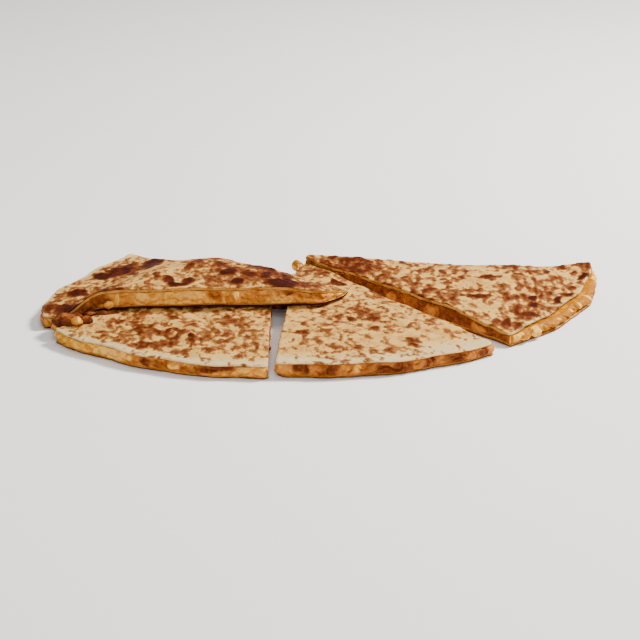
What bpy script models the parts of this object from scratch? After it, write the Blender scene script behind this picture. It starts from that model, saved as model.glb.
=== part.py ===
"""A folded quesadilla cut into four slices.

A round flour tortilla is folded over a filling of melted cheese and meat, toasted, and cut from the
fold out to the rim into four slices. The two outer slices each keep half of the fold, so their tortilla
is one piece that bends round the filling. The two inner slices have one sheet below and one above. The
back left slice has slid forward onto its neighbours, and its outer end hangs down to the table.

Every slice is laid out on its own grid. Its rings run out from the blunt tip to the round rim, and its
rows run across from the first straight edge to the last. On an outer slice the first edge is the fold.
Sizes are in metres and angles in degrees, +Z is up and the table is at z = 0.
"""

from dataclasses import dataclass

import bmesh
import bpy
import numpy as np

# The folded round
SHEET = 0.0013  # one layer of toasted tortilla
CROWN_START = 0.036  # from the rim in to the full height
TIP_REACH = 0.026  # from the tip out to the full height
FOLD_REACH = 0.022  # from the fold in to the full height
FOLD_CORNER = 0.20  # share of the fold, at the rim, over which it comes to the height of its corner
FOLD_DEPTH = 0.0042  # how deep the rounded nose of the fold is

# Fit between neighbours
GAP = 0.0003  # between a tortilla layer and the filling
REST_GAP = 0.0006  # between the leaning slice and what it lies on
RIM_RECESS = 0.0008  # how far the filling stays inside the rim
CUT_RECESS = 0.0004  # how far it stays inside a cut edge
FRONT_BEND = 0.25  # bend at the filling's blunt front inside the fold

# Unevenness
SWELL = 0.00045  # low swellings of the upper layer
SWELL_LENGTH = 0.031  # the length of one swelling
RIM_WANDER = 0.0005  # how far the rim strays from its even curve

# Grid of one slice
RINGS = 15
ROWS = 10
NOSE_STEPS = 4
LEANING_RINGS = 21
BASE_RINGS = 9
BASE_ROWS = 8


@dataclass(frozen=True)
class Slice:
    """One slice of the round, from its blunt tip to its rim."""

    name: str
    centre: tuple[float, float]  # of the rim's curve
    directions: tuple[float, float]  # from there to the rim's first and last corner
    radii: tuple[float, float]  # and how far away those corners are
    tip_first: tuple[float, float]  # the tip's corner on the first straight edge
    tip_last: tuple[float, float]  # and on the last
    crown: float  # height of both layers and the filling where it is deepest
    rim_heights: tuple[float, float]  # the same at the rim's first and last corner
    tip_height: float
    phase: float  # sets its own swellings
    bows: tuple[float, float] = (0.0, 0.0)  # how far each straight edge bows in at its middle
    fold_heights: tuple[float, float, float] | None = None  # of the fold at the tip, further out, at the rim
    fold_settle: float = 0.0  # from the tip until the fold has its second height
    lower_reach: float = 0.0  # how far the lower layer reaches past the upper one at the rim
    leaning: bool = False  # whether it lies on its neighbours
    lump: float = 0.0  # how far the filling comes out at the tip


BACK_LEFT = Slice(
    name="back_left",
    centre=(0.0120, 0.0080),
    directions=(145.3, 188.3),
    radii=(0.1180, 0.1300),
    tip_first=(0.0120, 0.0075),
    tip_last=(0.0010, -0.0045),
    crown=0.0088,
    rim_heights=(0.0056, 0.0056),
    tip_height=0.0068,
    phase=0.7,
    bows=(0.0018, 0.0),
    fold_heights=(0.0034, 0.0065, 0.0061),
    fold_settle=0.045,
    leaning=True,
)
FRONT_LEFT = Slice(
    name="front_left",
    centre=(-0.0145, 0.0571),
    directions=(221.5, 267.2),
    radii=(0.1270, 0.1265),
    tip_first=(-0.0255, 0.0473),
    tip_last=(-0.0210, 0.0500),
    crown=0.0074,
    rim_heights=(0.0062, 0.0058),
    tip_height=0.0068,
    phase=2.1,
)
FRONT_MIDDLE = Slice(
    name="front_middle",
    centre=(-0.0080, 0.0594),
    directions=(265.6, 308.2),
    radii=(0.1270, 0.1285),
    tip_first=(-0.0098, 0.0570),
    tip_last=(-0.0046, 0.0575),
    crown=0.0075,
    rim_heights=(0.0067, 0.0054),
    tip_height=0.0062,
    phase=3.9,
    bows=(0.0, 0.0038),
    lump=0.0045,
)
RIGHT = Slice(
    name="right",
    centre=(-0.0050, 0.0619),
    directions=(358.1, 311.4),
    radii=(0.1270, 0.1248),
    tip_first=(-0.0040, 0.0655),
    tip_last=(-0.0066, 0.0602),
    crown=0.0086,
    rim_heights=(0.0056, 0.0056),
    tip_height=0.0078,
    phase=5.2,
    bows=(0.0024, 0.0),
    fold_heights=(0.0088, 0.0060, 0.0078),
    fold_settle=0.085,
    lower_reach=0.0026,
)
SLICES = (BACK_LEFT, FRONT_LEFT, FRONT_MIDDLE, RIGHT)

# How the leaning slice hangs down outside the slice under it
HANG_NEAR_TIP = 0.050  # width of the slope beside the tip of the slice below
HANG_NEAR_RIM = 0.0105  # width of the slope beside its rim
HANG_FROM, HANG_TO = 0.030, 0.117  # where along its cut edge those two widths hold


def smooth(t):
    """Rises from 0 to 1 with level ends."""
    t = np.clip(t, 0.0, 1.0)
    return t * t * (3.0 - 2.0 * t)


def between(pair, t):
    """A value between the two of a pair."""
    return pair[0] + (pair[1] - pair[0]) * t


def rim_radius(part, across):
    """Distance from the centre to the rim, which strays a little from its even curve."""
    wander = np.sin(9.0 * across + part.phase) + np.sin(21.0 * across + 2.3 * part.phase)
    return between(part.radii, smooth(across)) + RIM_WANDER * wander


def place(part, out, across, reach=0.0):
    """Table position of a grid point: out from tip (0) to rim (1) and across from first edge to last.

    The reach moves the rim outwards.
    """
    corners = [tip_to_rim(part, out, np.full_like(across, side), reach) for side in (0.0, 1.0)]
    width = np.hypot(*(corners[1] - corners[0]))
    bow = np.sin(np.pi * out) / width
    bent = across + bow * (part.bows[0] * (1.0 - across) - part.bows[1] * across)
    return tip_to_rim(part, out, bent, reach)


def tip_to_rim(part, out, across, reach):
    """Point on the straight line from the tip's end face to the rim."""
    angle = np.radians(between(part.directions, across))
    radius = rim_radius(part, across) + reach
    tip = [between(ends, across) for ends in zip(part.tip_first, part.tip_last)]
    rim = [part.centre[0] + radius * np.cos(angle), part.centre[1] + radius * np.sin(angle)]
    return np.array([between(ends, out) for ends in zip(tip, rim)])


def edge_width(part, out):
    """Distance across the slice from one straight edge to the other."""
    first, last = (place(part, out, np.full_like(out, side)) for side in (0.0, 1.0))
    return np.hypot(*(last - first))


def body_height(part, x, y):
    """Height of both layers and the filling, apart from the fold and the swellings."""
    dx, dy = x - part.centre[0], y - part.centre[1]
    opening = np.radians(part.directions[1] - part.directions[0])
    angle = np.arctan2(dy, dx) - np.radians(part.directions[0]) - 0.5 * opening
    across = np.clip((np.mod(angle + np.pi, 2.0 * np.pi) - np.pi) / opening + 0.5, 0.0, 1.0)
    from_rim = smooth((rim_radius(part, across) - np.hypot(dx, dy)) / CROWN_START)
    from_tip = smooth(np.hypot(x - part.tip_last[0], y - part.tip_last[1]) / TIP_REACH)
    inner = between((part.tip_height, part.crown), from_tip)
    return between((between(part.rim_heights, across), inner), from_rim)


def swelling(part, x, y):
    """Low swellings of the upper layer."""
    turn = 2.0 * np.pi / SWELL_LENGTH
    waves = (
        np.sin(turn * (0.9 * x + 0.5 * y) + part.phase)
        + np.sin(turn * (0.4 * x - 1.1 * y) + 2.7 * part.phase)
        + np.sin(turn * (-0.7 * x + 0.8 * y) + 1.9 * part.phase)
    )
    return SWELL * waves / 3.0


def underside(part, x, y):
    """Height of the slice's underside above the table."""
    if not part.leaning:
        return np.zeros_like(x)
    under = [body_height(below, x, y) + swelling(below, x, y) for below in (FRONT_LEFT, FRONT_MIDDLE)]
    carried = np.maximum(*under) + REST_GAP
    angle = np.radians(FRONT_LEFT.directions[0])
    dx, dy = x - FRONT_LEFT.centre[0], y - FRONT_LEFT.centre[1]
    along = dx * np.cos(angle) + dy * np.sin(angle)
    inside = dy * np.cos(angle) - dx * np.sin(angle)
    nearness = np.clip((along - HANG_FROM) / (HANG_TO - HANG_FROM), 0.0, 1.0)
    width = between((HANG_NEAR_TIP, HANG_NEAR_RIM), nearness)
    return carried * smooth((inside + width) / width)


def upper_height(part, out, across, x, y):
    """Height of the slice's upper side above the table, apart from the nose of the fold."""
    height = body_height(part, x, y)
    if part.fold_heights:
        from_tip = np.hypot(x - part.tip_first[0], y - part.tip_first[1])
        fold = between(part.fold_heights[:2], smooth(from_tip / part.fold_settle))
        corner = smooth((out - 1.0 + FOLD_CORNER) / FOLD_CORNER)
        fold = between((fold, part.fold_heights[2]), corner)
        height = between((fold, height), smooth(across * edge_width(part, out) / FOLD_REACH))
    return underside(part, x, y) + height + swelling(part, x, y)


def grid_rings(rings, rows):
    """How far out each point of a grid lies."""
    return np.broadcast_to(np.linspace(0.0, 1.0, rings + 1)[:, None], (rings + 1, rows))


def even_grid(rings, rows):
    """How far out and across each point of an inner slice's grid lies."""
    out = grid_rings(rings, rows + 1)
    return out, np.broadcast_to(np.linspace(0.0, 1.0, rows + 1), out.shape)


def folded_grid(part, inset):
    """How far out and across each point of an outer slice's grid lies, and its bend round the nose.

    The bend is 0 at the very front of the nose and 1 where the layer is level. The inset is how far the
    grid lies inside the tortilla's outer surface.
    """
    turn = np.radians(np.linspace(0.0, 90.0, NOSE_STEPS + 1))
    out = grid_rings(LEANING_RINGS if part.leaning else RINGS, NOSE_STEPS + 1 + ROWS)
    width = edge_width(part, out[:, :1])
    depth = np.minimum(FOLD_DEPTH, 0.5 * width)
    hollow = np.maximum(depth - inset, 0.3 * depth)
    nose = (depth - hollow * np.cos(turn)) / width
    level = nose[:, -1:] + (1.0 - nose[:, -1:]) * np.linspace(0.0, 1.0, ROWS + 1)[1:]
    bend = np.concatenate([np.sin(turn), np.ones(ROWS)])
    return out, np.concatenate([nose, level], axis=1), np.broadcast_to(bend, out.shape)


def folded_side(part, inset, sign, least_bend=0.0):
    """Points of one half of a folded form, above (sign 1) or below (sign -1) the middle of the fold."""
    out, across, bend = folded_grid(part, inset)
    bend = np.maximum(bend, least_bend)
    reach = part.lower_reach * smooth(4.0 * across) * smooth(4.0 * (1.0 - across)) * (sign < 0.0)
    x, y = place(part, out, across, reach)
    low, high = underside(part, x, y), upper_height(part, out, across, x, y)
    middle, half = 0.5 * (low + high), 0.5 * (high - low)
    return np.stack([x, y, middle + sign * bend * (half - inset)], axis=-1)


def moved_in(border, inner, distance):
    """Points of a grid's border moved towards the next line of the grid."""
    way = inner - border
    return border + way * (distance / np.linalg.norm(way, axis=-1, keepdims=True))


def trimmed(grid, tip, rim, first, last):
    """The grid with its four borders moved in along its own lines, so that it stays on its surface."""
    grid = grid.copy()
    grid[0], grid[-1] = moved_in(grid[0], grid[1], tip), moved_in(grid[-1], grid[-2], rim)
    grid[:, 0] = moved_in(grid[:, 0], grid[:, 1], first)
    grid[:, -1] = moved_in(grid[:, -1], grid[:, -2], last)
    return grid


def material(name, colour, roughness):
    """Principled material of one sub-part."""
    made = bpy.data.materials.new(name)
    made.use_nodes = True
    shader = made.node_tree.nodes["Principled BSDF"]
    shader.inputs["Base Color"].default_value = (*colour, 1.0)
    shader.inputs["Roughness"].default_value = roughness
    shader.inputs["Metallic"].default_value = 0.0
    return made


def body_between(name, outer, inner, finish):
    """Makes one closed body from two grids of points that face each other, joined round their edges."""
    rings, rows = outer.shape[:2]
    form = bmesh.new()
    verts = [[form.verts.new(point) for point in grid.reshape(-1, 3)] for grid in (outer, inner)]
    index = np.arange(rings * rows).reshape(rings, rows)
    for side in verts:
        for ring in range(rings - 1):
            for row in range(rows - 1):
                corners = [*index[ring : ring + 2, row], *index[ring : ring + 2, row + 1][::-1]]
                form.faces.new([side[corner] for corner in corners])
    around = [*index[0, :], *index[1:, -1], *index[-1, -2::-1], *index[-2:0:-1, 0]]
    for here, there in zip(around, around[1:] + around[:1]):
        form.faces.new([verts[0][here], verts[0][there], verts[1][there], verts[1][here]])
    bmesh.ops.triangulate(form, faces=form.faces[:])
    bmesh.ops.recalc_face_normals(form, faces=form.faces[:])
    mesh = bpy.data.meshes.new(name)
    form.to_mesh(mesh)
    form.free()
    mesh.materials.append(material(name, *finish))
    mesh.shade_smooth()
    mesh.set_sharp_from_angle(angle=np.radians(40.0))
    body = bpy.data.objects.new(name, mesh)
    bpy.context.collection.objects.link(body)
    return body


TOASTED = ((0.56, 0.34, 0.15), 0.7)
CHEESE = ((0.68, 0.36, 0.08), 0.4)


def folded_tortilla(part):
    """The tortilla of an outer slice, one piece bent round the filling."""
    sides = []
    for inset in (0.0, SHEET):
        lower, upper = (folded_side(part, inset, sign) for sign in (-1.0, 1.0))
        sides.append(np.concatenate([lower[:, ::-1], upper[:, 1:]], axis=1))
    return body_between(f"{part.name}_tortilla", *sides, TOASTED)


def folded_filling(part):
    """The filling of an outer slice, rounded where it meets the inside of the fold."""
    sides = [folded_side(part, SHEET + GAP, sign, FRONT_BEND) for sign in (1.0, -1.0)]
    sides = [trimmed(side, CUT_RECESS, RIM_RECESS, 0.0, CUT_RECESS) for side in sides]
    return body_between(f"{part.name}_filling", *sides, CHEESE)


def inner_side(part, drop):
    """Points of an inner slice's upper side, or of a surface a given drop below it."""
    out, across = even_grid(RINGS, ROWS)
    x, y = place(part, out, across)
    return np.stack([x, y, upper_height(part, out, across, x, y) - drop], axis=-1)


def top_tortilla(part):
    """The upper layer of an inner slice."""
    sides = [inner_side(part, drop) for drop in (0.0, SHEET)]
    return body_between(f"{part.name}_top_tortilla", *sides, TOASTED)


def filling(part):
    """The filling of an inner slice, between its two layers."""
    over = inner_side(part, SHEET + GAP)
    under = over.copy()
    under[..., 2] = SHEET + GAP
    borders = (CUT_RECESS - part.lump, RIM_RECESS, CUT_RECESS, CUT_RECESS)
    sides = [trimmed(side, *borders) for side in (over, under)]
    return body_between(f"{part.name}_filling", *sides, CHEESE)


def bottom_tortilla(part):
    """The lower layer of an inner slice, flat on the table."""
    x, y = place(part, *even_grid(BASE_RINGS, BASE_ROWS))
    sides = [np.stack([x, y, np.full_like(x, height)], axis=-1) for height in (SHEET, 0.0)]
    return body_between(f"{part.name}_bottom_tortilla", *sides, TOASTED)


def centre(bodies):
    """Moves the meshes so that the middle of the whole lies over the origin."""
    corners = np.array([vert.co for body in bodies for vert in body.data.vertices])
    shift = -0.5 * (corners.min(axis=0) + corners.max(axis=0))
    for body in bodies:
        for vert in body.data.vertices:
            vert.co.x += shift[0]
            vert.co.y += shift[1]


def main():
    """Clears the scene and builds the four slices."""
    for body in list(bpy.data.objects):
        bpy.data.objects.remove(body)
    bodies = []
    for part in SLICES:
        if part.fold_heights:
            bodies += [folded_tortilla(part), folded_filling(part)]
        else:
            bodies += [bottom_tortilla(part), filling(part), top_tortilla(part)]
    centre(bodies)


main()
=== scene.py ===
"""Dresses a folded quesadilla, cut into four slices, over its CAD solids.

A round flour tortilla is folded over melted cheese and meat, toasted on a griddle and cut from the fold
out to the rim into four slices. The two outer slices keep half of the fold each, so their tortilla is one
piece that bends round the filling. The two inner slices have a lower and an upper layer. The back left
slice lies on its neighbours and hangs down past them to the table.

Each slice is laid out on a grid: out runs from its blunt tip (0) to the round rim (1), and across runs
from its first straight edge (0) to its last (1). Sizes are in metres and angles in degrees unless a name
or a docstring says millimetres. +Z is up and the table is at z = 0.
"""

import itertools
import logging
import math
import sys
from collections.abc import Callable
from dataclasses import dataclass, field
from enum import Enum

import bmesh
import bpy
import numpy as np
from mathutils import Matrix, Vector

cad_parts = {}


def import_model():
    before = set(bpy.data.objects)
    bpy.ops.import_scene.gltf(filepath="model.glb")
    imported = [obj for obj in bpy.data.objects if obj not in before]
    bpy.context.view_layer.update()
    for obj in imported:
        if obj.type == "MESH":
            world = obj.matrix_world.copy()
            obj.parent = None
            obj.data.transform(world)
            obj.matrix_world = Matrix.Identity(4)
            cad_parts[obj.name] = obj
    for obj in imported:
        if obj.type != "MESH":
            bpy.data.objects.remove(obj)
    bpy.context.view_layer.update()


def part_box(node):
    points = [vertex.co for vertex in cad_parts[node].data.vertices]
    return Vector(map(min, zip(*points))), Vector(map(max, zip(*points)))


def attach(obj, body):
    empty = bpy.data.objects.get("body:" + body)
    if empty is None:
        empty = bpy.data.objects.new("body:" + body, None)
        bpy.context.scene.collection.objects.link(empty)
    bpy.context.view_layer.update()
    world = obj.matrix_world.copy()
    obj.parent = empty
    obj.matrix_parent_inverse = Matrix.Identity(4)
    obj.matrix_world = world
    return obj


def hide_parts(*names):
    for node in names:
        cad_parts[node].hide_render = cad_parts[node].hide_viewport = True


LOG = logging.getLogger("quesadilla")
MM = 0.001
BODY = "root"


# ---------------------------------------------------------------------------------------------------
# Small helpers
# ---------------------------------------------------------------------------------------------------


def smooth(t: np.ndarray) -> np.ndarray:
    """Rises from 0 to 1 with level ends."""
    t = np.clip(t, 0.0, 1.0)
    return t * t * (3.0 - 2.0 * t)


def between(pair: tuple, t: np.ndarray) -> np.ndarray:
    """A value between the two of a pair."""
    return pair[0] + (pair[1] - pair[0]) * t


class SmoothNoise:
    """Gradient noise on a cubic lattice, the same on every run for one seed."""

    def __init__(self, seed: int) -> None:
        """Draws the lattice's directions.

        Args:
            seed: picks the pattern.
        """
        draw = np.random.default_rng(seed)
        self.order = draw.permutation(256)
        ways = draw.normal(size=(256, 3))
        self.ways = ways / np.linalg.norm(ways, axis=1, keepdims=True)

    def at(self, points: np.ndarray, length: float) -> np.ndarray:
        """Noise at points in space.

        Args:
            points: positions, with x, y and z on the last axis.
            length: the size of one swelling of the pattern.

        Returns:
            Values of about -1 to 1.
        """
        scaled = points / length
        cell = np.floor(scaled).astype(int)
        inside = scaled - cell
        fade = inside**3 * (inside * (inside * 6.0 - 15.0) + 10.0)
        total = np.zeros(points.shape[:-1])
        for corner in itertools.product((0, 1), repeat=3):
            step = np.array(corner)
            index = self.order[(cell[..., 0] + step[0]) & 255]
            index = self.order[(index + cell[..., 1] + step[1]) & 255]
            index = self.order[(index + cell[..., 2] + step[2]) & 255]
            ramp = np.einsum("...k,...k->...", self.ways[index], inside - step)
            total += ramp * np.prod(np.where(step == 1, fade, 1.0 - fade), axis=-1)
        return 2.0 * total

    def layered(self, points: np.ndarray, layers: tuple[tuple[float, float], ...]) -> np.ndarray:
        """A sum of noises.

        Args:
            points: positions, with x, y and z on the last axis.
            layers: the length and the weight of each noise.

        Returns:
            The weighted sum at each point.
        """
        return sum(weight * self.at(points + 7.3 * length, length) for length, weight in layers)


NOISE = SmoothNoise(20)


def flat_points(x: np.ndarray, y: np.ndarray, level: float = 0.0) -> np.ndarray:
    """Points at one level, for noise that depends on the place alone."""
    return np.stack([x, y, np.full_like(x, level)], axis=-1)


# ---------------------------------------------------------------------------------------------------
# The slices, as in the CAD source
# ---------------------------------------------------------------------------------------------------

SHEET = 0.0013  # one layer of toasted tortilla
CROWN_START = 0.036  # from the rim in to the full height
TIP_REACH = 0.026  # from the tip out to the full height
FOLD_REACH = 0.022  # from the fold in to the full height
FOLD_CORNER = 0.20  # share of the fold, at the rim, over which it comes to the height of its corner
FOLD_DEPTH = 0.0042  # how deep the rounded nose of the fold is
REST_GAP = 0.0006  # between the leaning slice and what it lies on
SWELL = 0.00045  # low swellings of the upper layer
SWELL_LENGTH = 0.031  # the length of one swelling
RIM_WANDER = 0.0005  # how far the rim strays from its even curve
HANG_NEAR_TIP = 0.050  # width of the leaning slice's slope beside the tip of the slice below
HANG_NEAR_RIM = 0.0105  # width of the slope beside its rim
HANG_FROM, HANG_TO = 0.030, 0.117  # where along its cut edge those two widths hold
BASE_RINGS, BASE_ROWS = 9, 8  # grid of a lower layer in the CAD model
WARPS = ((0.0075, 0.0022), (0.0030, 0.0010))  # length and reach of the bends in a toasted mark's outline
MARK_WARP, SPOT_WARP = 0.55, 0.4  # how much of them moves the marks and the small spots
SPOT_LAYERS = ((0.0080, 0.11), (0.0036, 0.24), (0.0020, 0.19))  # length and weight of the small spots
VEIN_LENGTH, VEIN_WEIGHT = 0.0042, 0.24  # of the thin lines between them
HAZE_LENGTH, HAZE_WEIGHT = 0.026, 0.10  # of the wide browner and paler areas


@dataclass(frozen=True)
class Scorch:
    """One toasted mark on a slice. Its place and size are in millimetres."""

    x: float
    y: float
    length: float
    width: float
    depth: float = 0.3  # how much darker than its surroundings
    turn: float = 0.0  # of its length from +X
    ring: bool = False  # toasted along its outline only

    def cover(self, x: np.ndarray, y: np.ndarray) -> np.ndarray:
        """How much of the mark shows at a place.

        Args:
            x: position along X.
            y: position along Y.

        Returns:
            0 outside the mark and 1 well inside.
        """
        turn = math.radians(self.turn)
        dx, dy = x - self.x * MM, y - self.y * MM
        along = (dx * math.cos(turn) + dy * math.sin(turn)) / (0.5 * self.length * MM)
        aside = (dy * math.cos(turn) - dx * math.sin(turn)) / (0.5 * self.width * MM)
        distance = np.hypot(along, aside)
        if self.ring:
            return smooth((0.45 - np.abs(distance - 0.9)) / 0.3)
        return smooth(0.85 * (1.35 - distance) / 0.6)


@dataclass(frozen=True)
class Slice:
    """One slice of the round, from its blunt tip to its rim."""

    name: str
    centre: tuple[float, float]  # of the rim's curve
    directions: tuple[float, float]  # from there to the rim's first and last corner
    radii: tuple[float, float]  # and how far away those corners are
    tip_first: tuple[float, float]  # the tip's corner on the first straight edge
    tip_last: tuple[float, float]  # and on the last
    crown: float  # height of both layers and the filling where it is deepest
    rim_heights: tuple[float, float]  # the same at the rim's first and last corner
    tip_height: float
    phase: float  # sets its own swellings
    bows: tuple[float, float] = (0.0, 0.0)  # how far each straight edge bows in at its middle
    fold_heights: tuple[float, float, float] | None = None  # of the fold at the tip, further out, at the rim
    fold_settle: float = 0.0  # from the tip until the fold has its second height
    lower_reach: float = 0.0  # how far the lower layer reaches past the upper one at the rim
    leaning: bool = False  # whether it lies on its neighbours
    browning: float = 0.35  # how toasted it is all over
    mottling: float = 1.0  # strength of the small toasted spots
    stretch: float = 0.66  # their width across the table as a share of their depth
    flour: tuple[float, float] = (6.0, 6.0)  # millimetres of untoasted border at the rim's corners
    upper_corners: tuple[float, float] = (1.6, 1.6)  # radius in millimetres of the upper layer's rim corners
    lower_corners: tuple[float, float] = (1.6, 1.6)  # and of the lower layer's
    upper_pull: float = 0.0  # how far the upper layer's rim is drawn back in its middle
    scorches: tuple[Scorch, ...] = ()

    def rim_radius(self, across: np.ndarray) -> np.ndarray:
        """Distance from the centre to the rim, which strays a little from its even curve."""
        wander = np.sin(9.0 * across + self.phase) + np.sin(21.0 * across + 2.3 * self.phase)
        return between(self.radii, smooth(across)) + RIM_WANDER * wander

    def tip_to_rim(self, out: np.ndarray, across: np.ndarray, reach: np.ndarray) -> np.ndarray:
        """Point on the straight line from the tip's end face to the rim.

        Args:
            out: from the tip (0) to the rim (1).
            across: from the first straight edge (0) to the last (1).
            reach: how far the rim is moved outwards.

        Returns:
            The x and y of each point.
        """
        angle = np.radians(between(self.directions, across))
        radius = self.rim_radius(across) + reach
        tip = [between(ends, across) for ends in zip(self.tip_first, self.tip_last)]
        rim = [self.centre[0] + radius * np.cos(angle), self.centre[1] + radius * np.sin(angle)]
        return np.array([between(ends, out) for ends in zip(tip, rim)])

    def place(self, out: np.ndarray, across: np.ndarray, reach: np.ndarray | float = 0.0) -> np.ndarray:
        """Table position of grid points.

        Args:
            out: from the tip (0) to the rim (1).
            across: from the first straight edge (0) to the last (1).
            reach: how far the rim is moved outwards.

        Returns:
            The x and y of each point.
        """
        corners = [self.tip_to_rim(out, np.full_like(across, side), reach) for side in (0.0, 1.0)]
        width = np.hypot(*(corners[1] - corners[0]))
        bow = np.sin(np.pi * out) / width
        bent = across + bow * (self.bows[0] * (1.0 - across) - self.bows[1] * across)
        return self.tip_to_rim(out, bent, reach)

    def rounded(self, x: np.ndarray, y: np.ndarray, out: np.ndarray, across: np.ndarray, upper: bool,
                pull: float = 0.0) -> tuple[np.ndarray, np.ndarray]:
        """Draws in the rim of a layer, with rounded corners.

        Args:
            x: position along X.
            y: position along Y.
            out: from the tip to the rim.
            across: from the first straight edge to the last.
            upper: whether the points belong to the upper layer.
            pull: how far the rim is drawn back in its middle.

        Returns:
            The moved x and y.
        """
        first, last = (radius * MM for radius in (self.upper_corners if upper else self.lower_corners))
        width = self.edge_width(out)
        amount = pull * np.sin(np.pi * np.clip(across, 0.0, 1.0)) ** 0.5
        corners = ((last, 1.0 - across),) if self.fold_heights else ((first, across), (last, 1.0 - across))
        for radius, share in corners:
            short = np.clip(radius - share * width, 0.0, radius)
            amount = amount + radius - np.sqrt(radius**2 - short**2)
        amount = amount * smooth((out - 0.80) / 0.20)
        radial = np.stack([x - self.centre[0], y - self.centre[1]])
        radial /= np.linalg.norm(radial, axis=0)
        return x - amount * radial[0], y - amount * radial[1]

    def edge_width(self, out: np.ndarray) -> np.ndarray:
        """Distance across the slice from one straight edge to the other."""
        first, last = (self.place(out, np.full_like(out, side)) for side in (0.0, 1.0))
        return np.hypot(*(last - first))

    def rim_distance(self, x: np.ndarray, y: np.ndarray) -> tuple[np.ndarray, np.ndarray]:
        """How far inside the rim a place lies.

        Args:
            x: position along X.
            y: position along Y.

        Returns:
            The distance to the rim, and the share of the way across the slice.
        """
        dx, dy = x - self.centre[0], y - self.centre[1]
        opening = np.radians(self.directions[1] - self.directions[0])
        angle = np.arctan2(dy, dx) - np.radians(self.directions[0]) - 0.5 * opening
        across = np.clip((np.mod(angle + np.pi, 2.0 * np.pi) - np.pi) / opening + 0.5, 0.0, 1.0)
        return self.rim_radius(across) - np.hypot(dx, dy), across

    def body_height(self, x: np.ndarray, y: np.ndarray) -> np.ndarray:
        """Height of both layers and the filling, apart from the fold and the swellings.

        Args:
            x: position along X.
            y: position along Y.

        Returns:
            The height at each place.
        """
        inside, across = self.rim_distance(x, y)
        from_tip = smooth(np.hypot(x - self.tip_last[0], y - self.tip_last[1]) / TIP_REACH)
        inner = between((self.tip_height, self.crown), from_tip)
        return between((between(self.rim_heights, across), inner), smooth(inside / CROWN_START))

    def swelling(self, x: np.ndarray, y: np.ndarray) -> np.ndarray:
        """Low swellings of the upper layer.

        Args:
            x: position along X.
            y: position along Y.

        Returns:
            Their height at each place, above or below the even surface.
        """
        turn = 2.0 * np.pi / SWELL_LENGTH
        waves = (
            np.sin(turn * (0.9 * x + 0.5 * y) + self.phase)
            + np.sin(turn * (0.4 * x - 1.1 * y) + 2.7 * self.phase)
            + np.sin(turn * (-0.7 * x + 0.8 * y) + 1.9 * self.phase)
        )
        return SWELL * waves / 3.0

    def underside(self, x: np.ndarray, y: np.ndarray) -> np.ndarray:
        """Height of the slice's underside above the table.

        Args:
            x: position along X.
            y: position along Y.

        Returns:
            The height at each place.
        """
        if not self.leaning:
            return np.zeros_like(x)
        under = [below.body_height(x, y) + below.swelling(x, y) for below in (FRONT_LEFT, FRONT_MIDDLE)]
        carried = np.maximum(*under) + REST_GAP
        angle = np.radians(FRONT_LEFT.directions[0])
        dx, dy = x - FRONT_LEFT.centre[0], y - FRONT_LEFT.centre[1]
        along = dx * np.cos(angle) + dy * np.sin(angle)
        inside = dy * np.cos(angle) - dx * np.sin(angle)
        nearness = np.clip((along - HANG_FROM) / (HANG_TO - HANG_FROM), 0.0, 1.0)
        width = between((HANG_NEAR_TIP, HANG_NEAR_RIM), nearness)
        return carried * smooth((inside + width) / width)

    def upper_height(self, out: np.ndarray, across: np.ndarray, x: np.ndarray, y: np.ndarray) -> np.ndarray:
        """Height of the slice's upper side above the table, apart from the nose of the fold.

        Args:
            out: from the tip (0) to the rim (1).
            across: from the first straight edge (0) to the last (1).
            x: position along X.
            y: position along Y.

        Returns:
            The height at each point.
        """
        height = self.body_height(x, y)
        if self.fold_heights:
            from_tip = np.hypot(x - self.tip_first[0], y - self.tip_first[1])
            fold = between(self.fold_heights[:2], smooth(from_tip / self.fold_settle))
            corner = smooth((out - 1.0 + FOLD_CORNER) / FOLD_CORNER)
            fold = between((fold, self.fold_heights[2]), corner)
            height = between((fold, height), smooth(across * self.edge_width(out) / FOLD_REACH))
        return self.underside(x, y) + height + self.swelling(x, y)

    def fold_bend(self, out: np.ndarray, across: np.ndarray, inset: np.ndarray | float) -> np.ndarray:
        """How far a layer has bent round the nose of the fold.

        Args:
            out: from the tip to the rim.
            across: from the fold to the last straight edge.
            inset: how far the layer lies inside the tortilla's outer surface.

        Returns:
            0 at the very front of the nose and 1 where the layer is level.
        """
        if not self.fold_heights:
            return np.ones_like(across)
        width = self.edge_width(out)
        depth = np.minimum(FOLD_DEPTH, 0.5 * width)
        hollow = np.maximum(depth - inset, 0.3 * depth)
        back = np.clip((depth - across * width) / hollow, 0.0, 1.0)
        return np.sqrt(1.0 - back * back)

    def heat(self, x: np.ndarray, y: np.ndarray) -> np.ndarray:
        """How toasted the upper side is at a place, from 0.3 for cream to 1 for charred.

        Args:
            x: position along X.
            y: position along Y.

        Returns:
            The toasting at each place.
        """
        spot = flat_points(x, y, self.phase)
        shift = np.zeros((2, *np.shape(x)))
        for number, (length, reach) in enumerate(WARPS):
            pair = (2 * number + 1, 2 * number + 2)
            shift += reach * np.stack([NOISE.at(spot + 0.5 * k, length) for k in pair])
        warped = flat_points(x + MARK_WARP * shift[0], y + MARK_WARP * shift[1], self.phase)
        deep = (y + SPOT_WARP * shift[1]) * self.stretch
        stretched = flat_points(x + SPOT_WARP * shift[0], deep, self.phase)
        spots = NOISE.layered(stretched, SPOT_LAYERS)
        veins = 0.22 - np.abs(NOISE.at(stretched + 0.9, VEIN_LENGTH))
        level = self.browning + self.mottling * (spots + VEIN_WEIGHT * veins)
        level = level + HAZE_WEIGHT * NOISE.at(spot, HAZE_LENGTH)
        uneven = 0.85 + 0.45 * NOISE.at(stretched + 2.3, 0.0050)
        for mark in self.scorches:
            level = level + mark.depth * uneven * mark.cover(warped[..., 0], warped[..., 1])
        return level

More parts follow.
